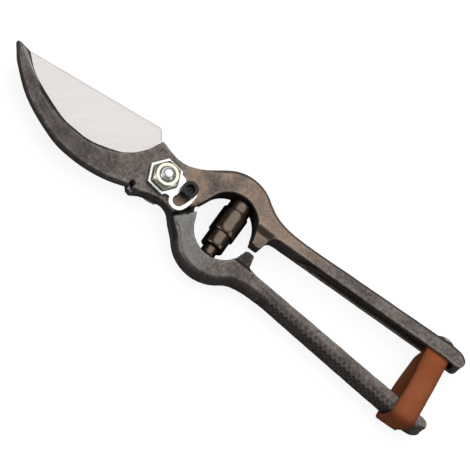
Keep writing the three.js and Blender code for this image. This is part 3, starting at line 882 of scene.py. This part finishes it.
def without_nipple(flat, flat_front, cells):
    """The ring's outline with the spring's nipple left out of it."""
    x, y = cells.x[:, :, 0], np.abs(cells.y[:, :, 0])
    beside = (np.abs(x - SPRING_X) < 3.2) & (y > SPRING_END - 5) & (y < SPRING_END + 1.2)
    return np.where(beside, flat_front, flat)


def lever_cells(node):
    low, high = node_box(node)
    return Field(low - 1.2, high + 1.2, cell("lever_step"))


def hollowed(cells, body, channel, x):
    """Body with the handle's channel sunk into its inner side."""
    across = np.abs(cells.z - MIDDLE) - (FRONT - BACK) / 2 + mm("flange")
    hollow = rounded_max(across, -channel[:, :, None], 0.8)
    return carved(body, np.where(x[:, :, None] > mm("neck") - 3, hollow, 1), 0.25)


# where the hook's inner bevel leaves its front face, from the tip to the pivot
BEVEL_TOP = (
    (-79.0, 9.2), (-76.0, 7.7), (-72.4, 4.7), (-68.5, 2.7), (-65.6, 1.2), (-62.9, -0.5), (-58.6, -3.6),
    (-52.7, -5.6), (-47.3, -7.0), (-40.5, -7.9), (-33.0, -7.9), (-26.0, -6.2), (-20.0, -3.4), (-15.0, 0.8),
    (-11.6, 5.2), (-9.0, 10.6),
)


# far side of the filed strip beside the bevel's top, bright filed steel with a painted highlight
FILED_SHEEN_STRIP = ((-79.0, 12.0), (-75.0, 9.6), (-70.5, 6.8), (-66.6, 3.4), (-63.3, 0.9), (-58.6, -1.8))


def run_segments(run):
    points = np.array(run)
    return np.stack([points[:-1], points[1:]], 1)


def above_run(cells, run):
    """Which cells of the plane lie above a run of points."""
    known = np.array(run)
    return cells.y[:, :, 0] > np.interp(cells.x[:, :, 0], known[:, 0], known[:, 1])


def mark_bevel(lever):
    """Stores painted shade over the hook's bevel, in the scale attribute, and the filed strip at the hook's
    tip with its painted highlight.
    """
    x, y, z = vertex_places(lever.data).T / MM
    known = np.array(BEVEL_TOP)
    past = y - np.interp(x, known[:, 0], known[:, 1])
    in_front = ramp(z, MIDDLE + 0.4, MIDDLE + 0.8) * (1 - ramp(x, -12.0, -9.0))
    band = np.array(FILED_SHEEN_STRIP)
    # filed strip: bright filed steel with a painted highlight on it
    filed_sheen = ramp(past, 0.1, 0.4) * (1 - ramp(y - np.interp(x, band[:, 0], band[:, 1]), -0.3, 0.1))
    filed_sheen = filed_sheen * (1 - ramp(x, -66.0, -59.0)) * in_front
    # painted shade over the bevel, dark down towards the blade
    scale = ramp(past, 0.3, 1.0) * in_front * (1 - filed_sheen)
    store_values(lever.data, "scale", np.maximum(vertex_values(lever.data, "scale"), scale))
    store_values(lever.data, "filed_sheen", filed_sheen)


def lug_slope(cells):
    """Height by which the stop lug's face drops below the lever's."""
    lug_zone = ramp(cells.x[:, :, 0], 39.5, 42.0) * (1 - ramp(cells.x[:, :, 0], 47.8, 50.5))
    lug_zone = lug_zone * (1 - ramp(np.abs(cells.y[:, :, 0]), 6.6, 9.6))
    return 2.6 * lug_zone


class SHEARS_OT_hook_lever(bpy.types.Operator):
    """Builds the hook lever: hook jaw, half ring, stop lug and the handle that holds the strap"""

    bl_idname = "shears.hook_lever"
    bl_label = "Hook Lever"

    def execute(self, context):
        node = "hook_lever"
        cells = lever_cells(node)
        x, y = cells.x[:, :, 0], cells.y[:, :, 0]
        edge = edge_radius(cells)
        lap_front = MIDDLE + mm("lap_gap") / 2
        front_only = cells.flat(slice_outline(node, FRONT - 0.1))
        whole = cells.flat(slice_outline(node, lap_front + 0.3))
        back_only = cells.flat(slice_outline(node, BACK + 0.5))
        full = np.minimum(without_nipple(whole, front_only, cells), front_only)
        back_only = np.where(x > 24, np.minimum(back_only, full), back_only)
        drawn = swollen_back(cells, 1)
        high = grown(full, edge) + lug_relief(cells)
        low = np.where(x > 12, grown(back_only, edge), back_only) + lug_relief(cells)

        front_half = extruded(high, cells.z, lap_front, FRONT, np.minimum(edge, 2.4)[:, :, None])
        front_half = np.where((cells.z < MIDDLE + 2.4) & (x > 24)[:, :, None], high[:, :, None], front_half)
        front_half = np.maximum(front_half, lap_front - cells.z)
        both = extruded(low, cells.z, BACK, FRONT, edge[:, :, None])
        body = np.minimum(np.maximum(front_half, high[:, :, None] + drawn), both + drawn)
        body = hollowed(cells, body, whole, x)

        # the hook's inner bevel rises from its foot at the edge to the front face
        foot = lap_front + mm("bevel_foot")
        top_line = cells.flat(run_segments(BEVEL_TOP))
        jaw = (x < -9.0) & (x > -79)
        inside = np.clip(-whole, 0, None)
        beyond = np.where(above_run(cells, BEVEL_TOP), np.abs(top_line), 0)
        share = np.clip(beyond / np.maximum(inside + beyond, 0.05), 0, 1)
        surface = np.where(jaw & (beyond > 0), FRONT - (FRONT - foot) * share**1.15, FRONT + 1)
        bevel = (cells.z - surface[:, :, None]) * 0.7
        body = np.where(jaw[:, :, None], carved(body, -bevel, 0.12), body)

        face = FRONT - lug_slope(cells)
        body = np.maximum(body, (cells.z - face[:, :, None]) * 0.8)
        body = merged(body, spring_nipple(cells, 1), 0.8)
        stop = node_box("leather_strap")[0][0] + 6
        body = body + chequering(cells, 1, stop)
        body = body + 0.08 * forging_marks(cells, 9.0, 3) * ramp(np.abs(cells.z - lap_front), 0.3, 1.5)
        lever = cells.skin("hook_lever_forging", body)
        rub_ridges(lever, 1, stop)
        mark_bevel(lever)
        finish_piece(lever, "hook_lever_oxide", hook_forging_finish, HOOK_BODY, "forged_steel", node)
        return {"FINISHED"}


class SHEARS_OT_blade_lever(bpy.types.Operator):
    """Builds the blade lever's forging: half at the pivot, half ring, stop lug and handle"""

    bl_idname = "shears.blade_lever"
    bl_label = "Blade Lever"

    def execute(self, context):
        node = "blade_lever"
        cells = lever_cells(node)
        x = cells.x[:, :, 0]
        edge = edge_radius(cells)
        lap_back = MIDDLE - mm("lap_gap") / 2
        back_face = cells.flat(slice_outline(node, BACK + 0.5))
        middle = cells.flat(slice_outline(node, FRONT - 3.5))
        front_only = cells.flat(slice_outline(node, FRONT - 0.1))
        full = np.minimum(without_nipple(middle, front_only, cells), front_only)
        plain_back = np.minimum(without_nipple(back_face, front_only, cells), full)
        back_face = np.where(x > 24, plain_back, back_face)
        drawn = swollen_back(cells, -1)
        low = np.where(x > 12, grown(back_face, edge), back_face) + lug_relief(cells)
        high = full + (grown(full, edge) - full) * ramp(x, 15.0, 22.0) + lug_relief(cells)

        back_half = extruded(low, cells.z, BACK, lap_back, np.minimum(edge, 2.4)[:, :, None])
        back_half = np.where((cells.z > MIDDLE - 2.4) & (x > 24)[:, :, None], low[:, :, None], back_half)
        back_half = np.maximum(back_half, cells.z - lap_back)
        tall = extruded(high, cells.z, BACK, FRONT, edge[:, :, None])
        body = np.minimum(np.maximum(back_half, low[:, :, None] + drawn), tall + drawn)
        body = hollowed(cells, body, middle, x)

        face = FRONT - lug_slope(cells)
        body = np.maximum(body, (cells.z - face[:, :, None]) * 0.8)
        body = merged(body, spring_nipple(cells, -1), 0.8)
        stop = node_box("leather_strap")[0][0] + 8
        body = body + chequering(cells, -1, stop)
        body = body + 0.08 * forging_marks(cells, 9.0, 5) * ramp(np.abs(cells.z - lap_back), 0.3, 1.5)
        lever = cells.skin("blade_lever_forging", body)
        rub_ridges(lever, -1, stop)
        finish_piece(lever, "blade_lever_oxide", blade_forging_finish, BLADE_BODY, "forged_steel", node)
        return {"FINISHED"}


class SHEARS_OT_blade(bpy.types.Operator):
    """Builds the ground blade: flat in front, hollow ground behind down to the cutting edge"""

    bl_idname = "shears.blade"
    bl_label = "Blade"

    def execute(self, context):
        lap_back = MIDDLE - mm("lap_gap") / 2
        outline = slice_outline("blade_lever", lap_back - 0.1)
        tip = node_box("blade_lever")[0][0]
        stations = np.concatenate([
            tip + 0.02 + 8 * np.linspace(0, 1, 24) ** 1.6,
            np.linspace(tip + 8.6, -15, 64),
            np.linspace(-14.8, -6.5, 40),
        ])
        rings = [self.section(outline, x, lap_back) for x in stations]
        blade = swept("blade_ground_steel", np.array(rings) * MM)
        finish_piece(blade, "ground_blade_steel", blade_finish, BLADE_BODY, "blade_steel")
        return {"FINISHED"}

    def section(self, outline, x, front):
        """Ring of points round the blade at x, from the cutting edge over the front and back again."""
        a, b = outline[:, 0], outline[:, 1]
        hit = (a[:, 0] > x) != (b[:, 0] > x)
        a, b = a[hit], b[hit]
        heights = a[:, 1] + (x - a[:, 0]) / (b[:, 0] - a[:, 0]) * (b[:, 1] - a[:, 1])
        low, high = heights.min(), heights.max()
        width = high - low
        edge = mm("edge_thickness")
        thick = min(mm("blade_thickness"), edge + 0.45 * width)
        ease = min(0.3, 0.2 * width)
        grind = min(11.0, 0.7 * width)
        share = np.linspace(0, 1, 12)
        front_run = [(low + s * (width - ease), front) for s in share]
        spine = [(high - 0.3 * ease, front - 0.3 * ease), (high, front - ease)]
        spine += [(high, front - thick + ease), (high - 0.3 * ease, front - thick + 0.3 * ease)]
        flat_run = [(high - ease - s * (width - ease - grind), front - thick) for s in np.linspace(0, 1, 5)]
        hollow = [
            (low + grind * (1 - s), front - edge - (thick - edge) * (1 - s) ** 0.85)
            for s in np.linspace(0.08, 1, 13)
        ]
        return [(x, y, z) for y, z in front_run + spine + flat_run + hollow]


# ---------------------------------------------------------------- pivot


def thread_depth(cells, radius, from_height, to_height):
    """Depth of a helical thread's groove at each cell."""
    turn = np.arctan2(cells.y, cells.x) / (2 * np.pi)
    phase = cells.z / mm("thread_pitch") - turn
    groove = np.abs(phase - np.round(phase)) * 2
    band = ramp(cells.z, from_height, from_height + 0.3) * (1 - ramp(cells.z, to_height - 0.3, to_height))
    return 0.5 * mm("thread_pitch") * (1 - groove) * band


def small_field(node, margin=0.6):
    low, high = node_box(node)
    return Field(low - margin, high + margin, cell("detail_step"))


class SHEARS_OT_pivot_bolt(bpy.types.Operator):
    """Builds the pivot bolt with its hexagon head, journal and threaded, domed end"""

    bl_idname = "shears.pivot_bolt"
    bl_label = "Pivot Bolt"

    def execute(self, context):
        cells = small_field("pivot_bolt")
        head_top = node_box("bolt_washer")[0][2]
        head = extruded(cells.flat(slice_outline("pivot_bolt", head_top / 2)), cells.z, 0, head_top, 0.25)
        radius = np.hypot(cells.x, cells.y)
        chamfer = radius - 7.5 + 0.9 * np.clip(0.9 - cells.z, 0, None)
        head = np.maximum(head, chamfer * 0.75)
        journal = turned(radius, cells.z, 4.0, head_top - 1, MIDDLE - 0.15, 0.2)
        thread = turned(radius, cells.z, 3.0, MIDDLE - 1, BOLT_END, 0.2)
        dome = np.sqrt(radius**2 + (cells.z - (BOLT_END - 4.6)) ** 2) - 4.6
        thread = np.maximum(thread, dome)
        thread = thread + thread_depth(cells, 3.0, FRONT, BOLT_END - 0.6)
        bolt = cells.skin("pivot_bolt_turned", merged(merged(head, journal, 0.2), thread, 0.1))
        finish_piece(bolt, "bright_zinc_plating", plated_finish, HOOK_BODY, "plated_steel", "pivot_bolt")
        return {"FINISHED"}


class SHEARS_OT_washer(bpy.types.Operator):
    """Builds the washer under the bolt's head"""

    bl_idname = "shears.washer"
    bl_label = "Washer"

    def execute(self, context):
        cells = small_field("bolt_washer")
        low, high = node_box("bolt_washer")
        radius = np.hypot(cells.x, cells.y)
        ring = turned(radius, cells.z, high[0], low[2], high[2], 0.25)
        hole = 4.25 - radius
        washer = cells.skin("bolt_washer_pressed", carved(ring, -hole, 0.15))
        finish_piece(washer, "bright_zinc_plating", plated_finish, HOOK_BODY, "plated_steel", "bolt_washer")
        return {"FINISHED"}


class SHEARS_OT_pivot_nut(bpy.types.Operator):
    """Builds the chamfered hexagon nut with its threaded bore"""

    bl_idname = "shears.pivot_nut"
    bl_label = "Pivot Nut"

    def execute(self, context):
        cells = small_field("pivot_nut")
        low, high = node_box("pivot_nut")
        corner = high[0] - low[0]
        radius = np.hypot(cells.x, cells.y)
        outline = cells.flat(slice_outline("pivot_nut", (low[2] + high[2]) / 2)) - 0.12
        nut = extruded(outline, cells.z, low[2], high[2], 0.12)
        cone = (radius - (corner / 2 - 1.15) - 1.7 * (high[2] - cells.z)) * 0.5
        mouth = (3.05 + 0.3 - (high[2] - cells.z) * 0.9 - radius) * 0.74
        nut = carved(np.maximum(nut, cone), -mouth, 0.08)
        made = cells.skin("pivot_nut_hexagon", nut)
        finish_piece(made, "yellowed_zinc_nut", nut_finish, HOOK_BODY, "plated_steel", "pivot_nut")
        return {"FINISHED"}


class SHEARS_OT_lock_plate(bpy.types.Operator):
    """Builds the pressed lock plate with its hexagon hole and slotted tail"""

    bl_idname = "shears.lock_plate"
    bl_label = "Lock Plate"

    def execute(self, context):
        cells = small_field("lock_plate")
        low, high = node_box("lock_plate")
        flat = cells.flat(slice_outline("lock_plate", (low[2] + high[2]) / 2))
        plate = cells.skin("lock_plate_pressed", extruded(flat, cells.z, low[2], high[2], 0.4))
        finish_piece(plate, "bright_zinc_plating", plated_finish, HOOK_BODY, "plated_steel", "lock_plate")
        return {"FINISHED"}


class SHEARS_OT_lock_screw(bpy.types.Operator):
    """Builds the socket head screw that holds the lock plate's tail"""

    bl_idname = "shears.lock_screw"
    bl_label = "Lock Screw"

    def execute(self, context):
        cells = small_field("lock_screw")
        low, high = node_box("lock_screw")
        centre = (low + high) / 2
        dx, dy = cells.x - centre[0], cells.y - centre[1]
        radius, angle = np.hypot(dx, dy), np.arctan2(dy, dx)
        flutes = 0.09 * (0.5 - 0.5 * np.cos(angle * 36)) * ramp(high[2] - cells.z, 0.5, 0.9)
        head = turned(radius, cells.z, (high[0] - low[0]) / 2, PLATE_FRONT, high[2], 0.35) + flutes
        shank = turned(radius, cells.z, 1.9, low[2], PLATE_FRONT + 1, 0.3)
        flats = np.radians([20, 80, 140, 200, 260, 320])
        socket = max_of([dx * math.cos(a) + dy * math.sin(a) for a in flats])
        hollow = np.maximum(socket - 1.5, high[2] - 1.9 - cells.z)
        dish = (1.95 - 0.8 * (high[2] - cells.z) - radius) * -0.75
        screw = carved(merged(head, shank, 0.15), hollow, 0.08)
        screw = carved(screw, dish, 0.08)
        made = cells.skin("lock_screw_socket_head", screw)
        finish_piece(made, "black_oxide_finish", black_finish, HOOK_BODY, "black_steel", "lock_screw")
        return {"FINISHED"}


def max_of(values):
    total = values[0]
    for value in values[1:]:
        total = np.maximum(total, value)
    return total


# ---------------------------------------------------------------- spring


class SHEARS_OT_volute_spring(bpy.types.Operator):
    """Winds the double volute spring from one flat strip, widest in its middle turn"""

    bl_idname = "shears.volute_spring"
    bl_label = "Volute Spring"

    # turn, radius, centre along Y and height of the strip
    KEYS = (
        (-2.45, 2.9, -10.6, 5.8),
        (-1.58, 3.0, -9.7, 7.2),
        (-1.42, 4.5, -4.4, 9.6),
        (-0.58, 4.6, -4.0, 10.2),
        (-0.42, 5.3, 2.6, 11.0),
        (0.42, 5.3, 2.9, 10.8),
        (0.58, 4.6, 8.4, 8.0),
        (1.42, 4.5, 8.8, 7.2),
        (1.58, 3.0, 10.4, 6.4),
        (2.45, 2.9, 10.8, 5.4),
    )

    def execute(self, context):
        keys = np.array(self.KEYS)
        reach = SPRING_END / (abs(keys[0, 2]) + keys[0, 3] / 2)
        turns = np.linspace(keys[0, 0], keys[-1, 0], 300)
        eased = [self.eased(turns, keys[:, 0], keys[:, k]) for k in (1, 2, 3)]
        radius, centre, height = eased[0], eased[1] * reach, eased[2]
        angle = 2 * np.pi * turns + math.radians(80)
        thick = mm("strip") / 2
        corner = 0.16
        around = [
            (-thick, -0.5, corner), (-thick + corner, -0.5, 0),
            (thick - corner, -0.5, 0), (thick, -0.5, corner),
            (thick, -0.25, 0), (thick, 0, 0), (thick, 0.25, 0),
            (thick, 0.5, -corner), (thick - corner, 0.5, 0),
            (-thick + corner, 0.5, 0), (-thick, 0.5, -corner),
            (-thick, 0.25, 0), (-thick, 0, 0), (-thick, -0.25, 0),
        ]
        rings = np.empty((len(turns), len(around), 3))
        for k, (out, up, shift) in enumerate(around):
            r = radius + out
            rings[:, k, 0] = SPRING_X + r * np.cos(angle)
            rings[:, k, 1] = centre + up * height + shift
            rings[:, k, 2] = MIDDLE + r * np.sin(angle)
        spring = swept("volute_spring_strip", rings * MM)
        finish_piece(spring, "tempered_strip", spring_finish, None, "spring_steel", "volute_spring")
        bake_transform(spring)
        return {"FINISHED"}

    def eased(self, at, known, values):
        """Values between the keys, slightly smoothed."""
        line = np.interp(at, known, values)
        window = np.hanning(9)
        padded = np.pad(line, 4, mode="edge")
        return np.convolve(padded, window / window.sum(), mode="valid")


# ---------------------------------------------------------------- strap and rivet


def handle_turn():
    """Angle of the hook lever's handle about Z."""
    rise = grip_outer(120.0, 1) - grip_outer(80.0, 1)
    return math.atan2(rise, 40.0)


def closure_place():
    """Matrix of the strap's and rivet's own frame: Y points out through the handle's back."""
    low, high = node_box("strap_rivet")
    turn = Matrix.Rotation(handle_turn(), 4, "Z")
    centre = Vector((low + high) / 2) + turn @ Vector((0, 0.15, 0))
    return Matrix.Translation(centre) @ turn


def local_field(low, high, place):
    """Cells in the closure's own frame, with a skin that is placed by the matrix."""
    cells = Field(low, high, cell("detail_step"))

    def skin(name, field):
        made = cells.skin(name, field)
        shift = Matrix.Translation(place.translation * MM) @ place.to_3x3().to_4x4()
        made.data.transform(shift)
        return made

    return cells, skin


class SHEARS_OT_strap_rivet(bpy.types.Operator):
    """Builds the rivet through the handle's wall, and the domed cap on its back"""

    bl_idname = "shears.strap_rivet"
    bl_label = "Strap Rivet"

    def execute(self, context):
        place = closure_place()
        wall = 2.85
        cells, skin = local_field((-5.4, -3.8, -5.4), (5.4, 5.8, 5.4), place)
        radius = np.hypot(cells.x, cells.z)
        shank = turned(radius, cells.y, 1.3, -2.6, wall, 0.1)
        head = turned(radius, cells.y, 1.9, -3.15, -2.25, 0.3)
        rivet = skin("strap_rivet_shank", merged(shank, head, 0.2))
        finish_piece(rivet, "bright_zinc_plating", plated_finish, HOOK_BODY, "plated_steel", "strap_rivet")
        sphere = np.sqrt(radius**2 + (cells.y - (wall + 2.2 - 7.2)) ** 2) - 7.2
        cap = np.maximum(sphere, turned(radius, cells.y, 4.8, wall, wall + 2.6, 0.25))
        made = skin("rivet_cap_dome", cap)
        finish_piece(made, "nickel_cap_painted_reflection", cap_finish, HOOK_BODY, "plated_steel", "rivet_cap")
        return {"FINISHED"}


class SHEARS_OT_leather_strap(bpy.types.Operator):
    """Builds the leather strap, a loop riveted in the channel and slipped over the other handle"""

    bl_idname = "shears.leather_strap"
    bl_label = "Leather Strap"

    STATIONS = 150

    def execute(self, context):
        place = closure_place()
        low, high = node_box("leather_strap")
        thick = mm("leather")
        half_wide = (high[2] - low[2]) / 2 - thick / 2
        narrow = (FRONT - BACK) / 2 - mm("flange") - 0.25 - thick / 2
        floor = -0.3 - thick / 2
        far = floor - (high[1] - low[1]) + thick + 1.0
        path = self.path(floor, far, narrow, half_wide)
        rings = self.rings(path, thick, 10.1)
        rings[:, :, 0] += self.lean(path, floor)[:, None]
        shift = np.array(place.to_3x3())
        world = rings @ shift.T + np.array(place.translation)
        strap = swept("leather_strap_loop", world * MM, closed=True)
        self.paint_inside_shade(strap)
        finish_piece(strap, "tan_strap_leather", leather_finish, None, "strap_leather", "leather_strap")
        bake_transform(strap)
        return {"FINISHED"}

    def paint_inside_shade(self, strap):
        """Darkens the loop's inner face like its burnished edges, as painted shade on the side that faces the
        handles.
        """
        rings = vertex_values(strap.data, "edge").reshape(self.STATIONS, -1)
        rings[:, 9:20] = np.maximum(rings[:, 9:20], 0.85)
        store_values(strap.data, "edge", rings.ravel())

    def lean(self, path, floor):
        """How far the loop's front side hangs towards the handles' ends, and its back side away."""
        away = np.clip((floor - path[:, 0] - 1.0) / 24, 0, 1)
        quick = ramp(floor - path[:, 0], 0.5, 7.0)
        front = np.clip(path[:, 1] / 6.0, 0, 1)
        back = np.clip(-path[:, 1] / 6.0, 0, 1)
        return away * (1.35 * front - 0.65) - quick * 1.6 * np.clip(2 * back, 0, 1)

    def path(self, floor, far, narrow, wide):
        """Middle line of the leather, in the closure's frame, evenly spaced, as (y, z)."""
        bend = 2.6
        slack = wide - narrow
        side = [
            (floor, 0.0), (floor, narrow * 0.55), (floor - 0.35, narrow * 0.9), (floor - 1.2, narrow),
            (floor - 3.2, narrow + 0.1), (floor - 8.5, narrow + 0.36 * slack),
            (floor - 13.5, narrow + 0.7 * slack),
            (floor - 18.5, wide - 0.12), (far + 8.0, wide), (far + bend, wide - 0.05),
            (far + 0.75, wide - 0.75), (far + 0.05, wide - bend), (far, 0.0),
        ]
        loop = side + [(y, -z) for y, z in side[-2:0:-1]]
        loop = np.array(loop + [loop[0]])
        dense = smooth_loop(loop, 900)
        step = np.r_[0, np.cumsum(np.linalg.norm(np.diff(dense, axis=0), axis=1))]
        even = np.linspace(0, step[-1], self.STATIONS + 1)[:-1]
        return np.stack([np.interp(even, step, dense[:, k]) for k in (0, 1)], 1)

    def rings(self, path, thick, width):
        """Rounded sections of the leather, square to the path."""
        ahead, behind = np.roll(path, -1, 0), np.roll(path, 1, 0)
        along = ahead - behind
        along /= np.linalg.norm(along, axis=1)[:, None]
        out = np.stack([along[:, 1], -along[:, 0]], 1)
        half, ease = width / 2, thick * 0.38
        run = np.linspace(-1, 1, 7)
        top = [(half - ease) * s for s in run]
        section = [(w, thick / 2) for w in top]
        section += [(half - 0.25 * ease, thick / 2 - 0.3 * ease), (half, thick * 0.18), (half, -thick * 0.18)]
        section += [(half - 0.25 * ease, -thick / 2 + 0.3 * ease)]
        section += [(w, -thick / 2) for w in top[::-1]]
        section += [(-half + 0.25 * ease, -thick / 2 + 0.3 * ease)]
        section += [(-half, -thick * 0.18), (-half, thick * 0.18)]
        section += [(-half + 0.25 * ease, thick / 2 - 0.3 * ease)]
        rings = np.empty((len(path), len(section), 3))
        waver = 0.12 * np.sin(np.linspace(0, 6 * np.pi, len(path), endpoint=False))
        for k, (across, up) in enumerate(section):
            cup = -0.10 * (across / half) ** 2
            rings[:, k, 0] = across + waver * (across / half)
            rings[:, k, 1] = path[:, 0] + out[:, 0] * (up + cup)
            rings[:, k, 2] = path[:, 1] + out[:, 1] * (up + cup)
        return rings


def smooth_loop(loop, count):
    """A closed Catmull-Rom curve through points whose last one repeats the first."""
    base = loop[:-1]
    size = len(base)
    at = np.linspace(0, size, count, endpoint=False)
    i = at.astype(int)
    t = (at - i)[:, None]
    p0, p1, p2, p3 = (base[(i + k) % size] for k in (-1, 0, 1, 2))
    square = 2 * p0 - 5 * p1 + 4 * p2 - p3
    cube = 3 * p1 - p0 - 3 * p2 + p3
    curve = 0.5 * (2 * p1 + (p2 - p0) * t + square * t**2 + cube * t**3)
    return np.vstack([curve, curve[:1]])


# ---------------------------------------------------------------- stage


class SHEARS_OT_stage(bpy.types.Operator):
    """Lays the pale floor and sets the soft studio light and the camera"""

    bl_idname = "shears.stage"
    bl_label = "Stage"

    def execute(self, context):
        self.floor()
        self.lights()
        self.camera()
        return {"FINISHED"}

    def floor(self):
        half = 1.6
        corners = [(-half, -half, 0), (half, -half, 0), (half, half, 0), (-half, half, 0)]
        mesh = bpy.data.meshes.new("floor")
        mesh.from_pydata([(x, y, -0.00005) for x, y, _ in corners], [], [(0, 1, 2, 3)])
        floor = bpy.data.objects.new("floor", mesh)
        bpy.context.scene.collection.objects.link(floor)
        floor.data.materials.append(new_material("pale_floor", floor_finish))

    def lights(self):
        world = bpy.data.worlds.new("studio")
        world.use_nodes = True
        background = world.node_tree.nodes["Background"]
        background.inputs["Color"].default_value = (1.0, 1.0, 1.0, 1.0)
        background.inputs["Strength"].default_value = 0.14
        bpy.context.scene.world = world
        for name, place, size, power in (
            ("overhead_soft", (0.10, 0.55, 1.25), 2.0, 17.0),
            ("end_soft", (1.15, -0.1, 0.75), 0.6, 1.6),
            ("low_fill", (-0.75, -0.55, 0.6), 0.5, 3.4),
        ):
            lamp = bpy.data.lights.new(name, "AREA")
            lamp.shape = "DISK"
            lamp.size = size
            lamp.energy = power
            made = bpy.data.objects.new(name, lamp)
            made.location = place
            made.rotation_mode = "QUATERNION"
            aim = Vector((0.03, 0, 0.01)) - Vector(place)
            made.rotation_quaternion = aim.to_track_quat("-Z", "Y")
            bpy.context.scene.collection.objects.link(made)

    def camera(self):
        """Long lens from above and in front, rolled so that the shears lie diagonally."""
        tilt, roll, heading = math.radians(22.5), math.radians(42.0), math.radians(79.0)
        distance = 4.0
        frame_width = 470 / 2.56 * MM
        away = Vector((math.cos(heading), math.sin(heading), 0))
        beside = Vector((math.sin(heading), -math.cos(heading), 0))
        back = Vector((0, 0, math.cos(tilt))) - away * math.sin(tilt)
        upper = away * math.cos(tilt) + Vector((0, 0, math.sin(tilt)))
        right = upper * math.cos(roll) + beside * math.sin(roll)
        up = upper * math.sin(roll) - beside * math.cos(roll)
        pivot = Vector((0, 0, PLATE_FRONT * MM))
        target = pivot + right * 0.02707 - up * 0.02297
        lens = bpy.data.cameras.new("camera")
        lens.sensor_width = 36.0
        lens.lens = lens.sensor_width * distance / frame_width
        lens.clip_start = 0.01
        camera = bpy.data.objects.new("camera", lens)
        camera.matrix_world = Matrix.Translation(target + back * distance) @ Matrix(
            (right, up, back)
        ).transposed().to_4x4()
        bpy.context.scene.collection.objects.link(camera)
        bpy.context.scene.camera = camera
        bpy.context.scene.view_settings.view_transform = "Standard"


# ---------------------------------------------------------------- panel and run

OPERATORS = (
    SHEARS_OT_stage,
    SHEARS_OT_hook_lever,
    SHEARS_OT_blade_lever,
    SHEARS_OT_blade,
    SHEARS_OT_pivot_bolt,
    SHEARS_OT_washer,
    SHEARS_OT_pivot_nut,
    SHEARS_OT_lock_plate,
    SHEARS_OT_lock_screw,
    SHEARS_OT_volute_spring,
    SHEARS_OT_strap_rivet,
    SHEARS_OT_leather_strap,
)


class SHEARS_PT_panel(bpy.types.Panel):
    """Lists the shears' pieces and settings"""

    bl_idname = "SHEARS_PT_panel"
    bl_label = "Pruning Shears"
    bl_space_type = "VIEW_3D"
    bl_region_type = "UI"
    bl_category = "Shears"

    def draw(self, context):
        for operator in OPERATORS:
            self.layout.operator(operator.bl_idname)
        for group in (context.scene.shears_sizes, context.scene.shears_colours):
            box = self.layout.box()
            for name in group.__annotations__:
                box.prop(group, name)


CLASSES = (ShearsSizes, ShearsColours, *OPERATORS, SHEARS_PT_panel)


def register():
    for made in CLASSES:
        bpy.utils.register_class(made)
    bpy.types.Scene.shears_sizes = bpy.props.PointerProperty(type=ShearsSizes)
    bpy.types.Scene.shears_colours = bpy.props.PointerProperty(type=ShearsColours)


def unregister():
    del bpy.types.Scene.shears_sizes
    del bpy.types.Scene.shears_colours
    for made in reversed(CLASSES):
        bpy.utils.unregister_class(made)


def main():
    register()
    for operator in OPERATORS:
        group, name = operator.bl_idname.split(".")
        getattr(getattr(bpy.ops, group), name)()


if __name__ == "__main__":
    main()
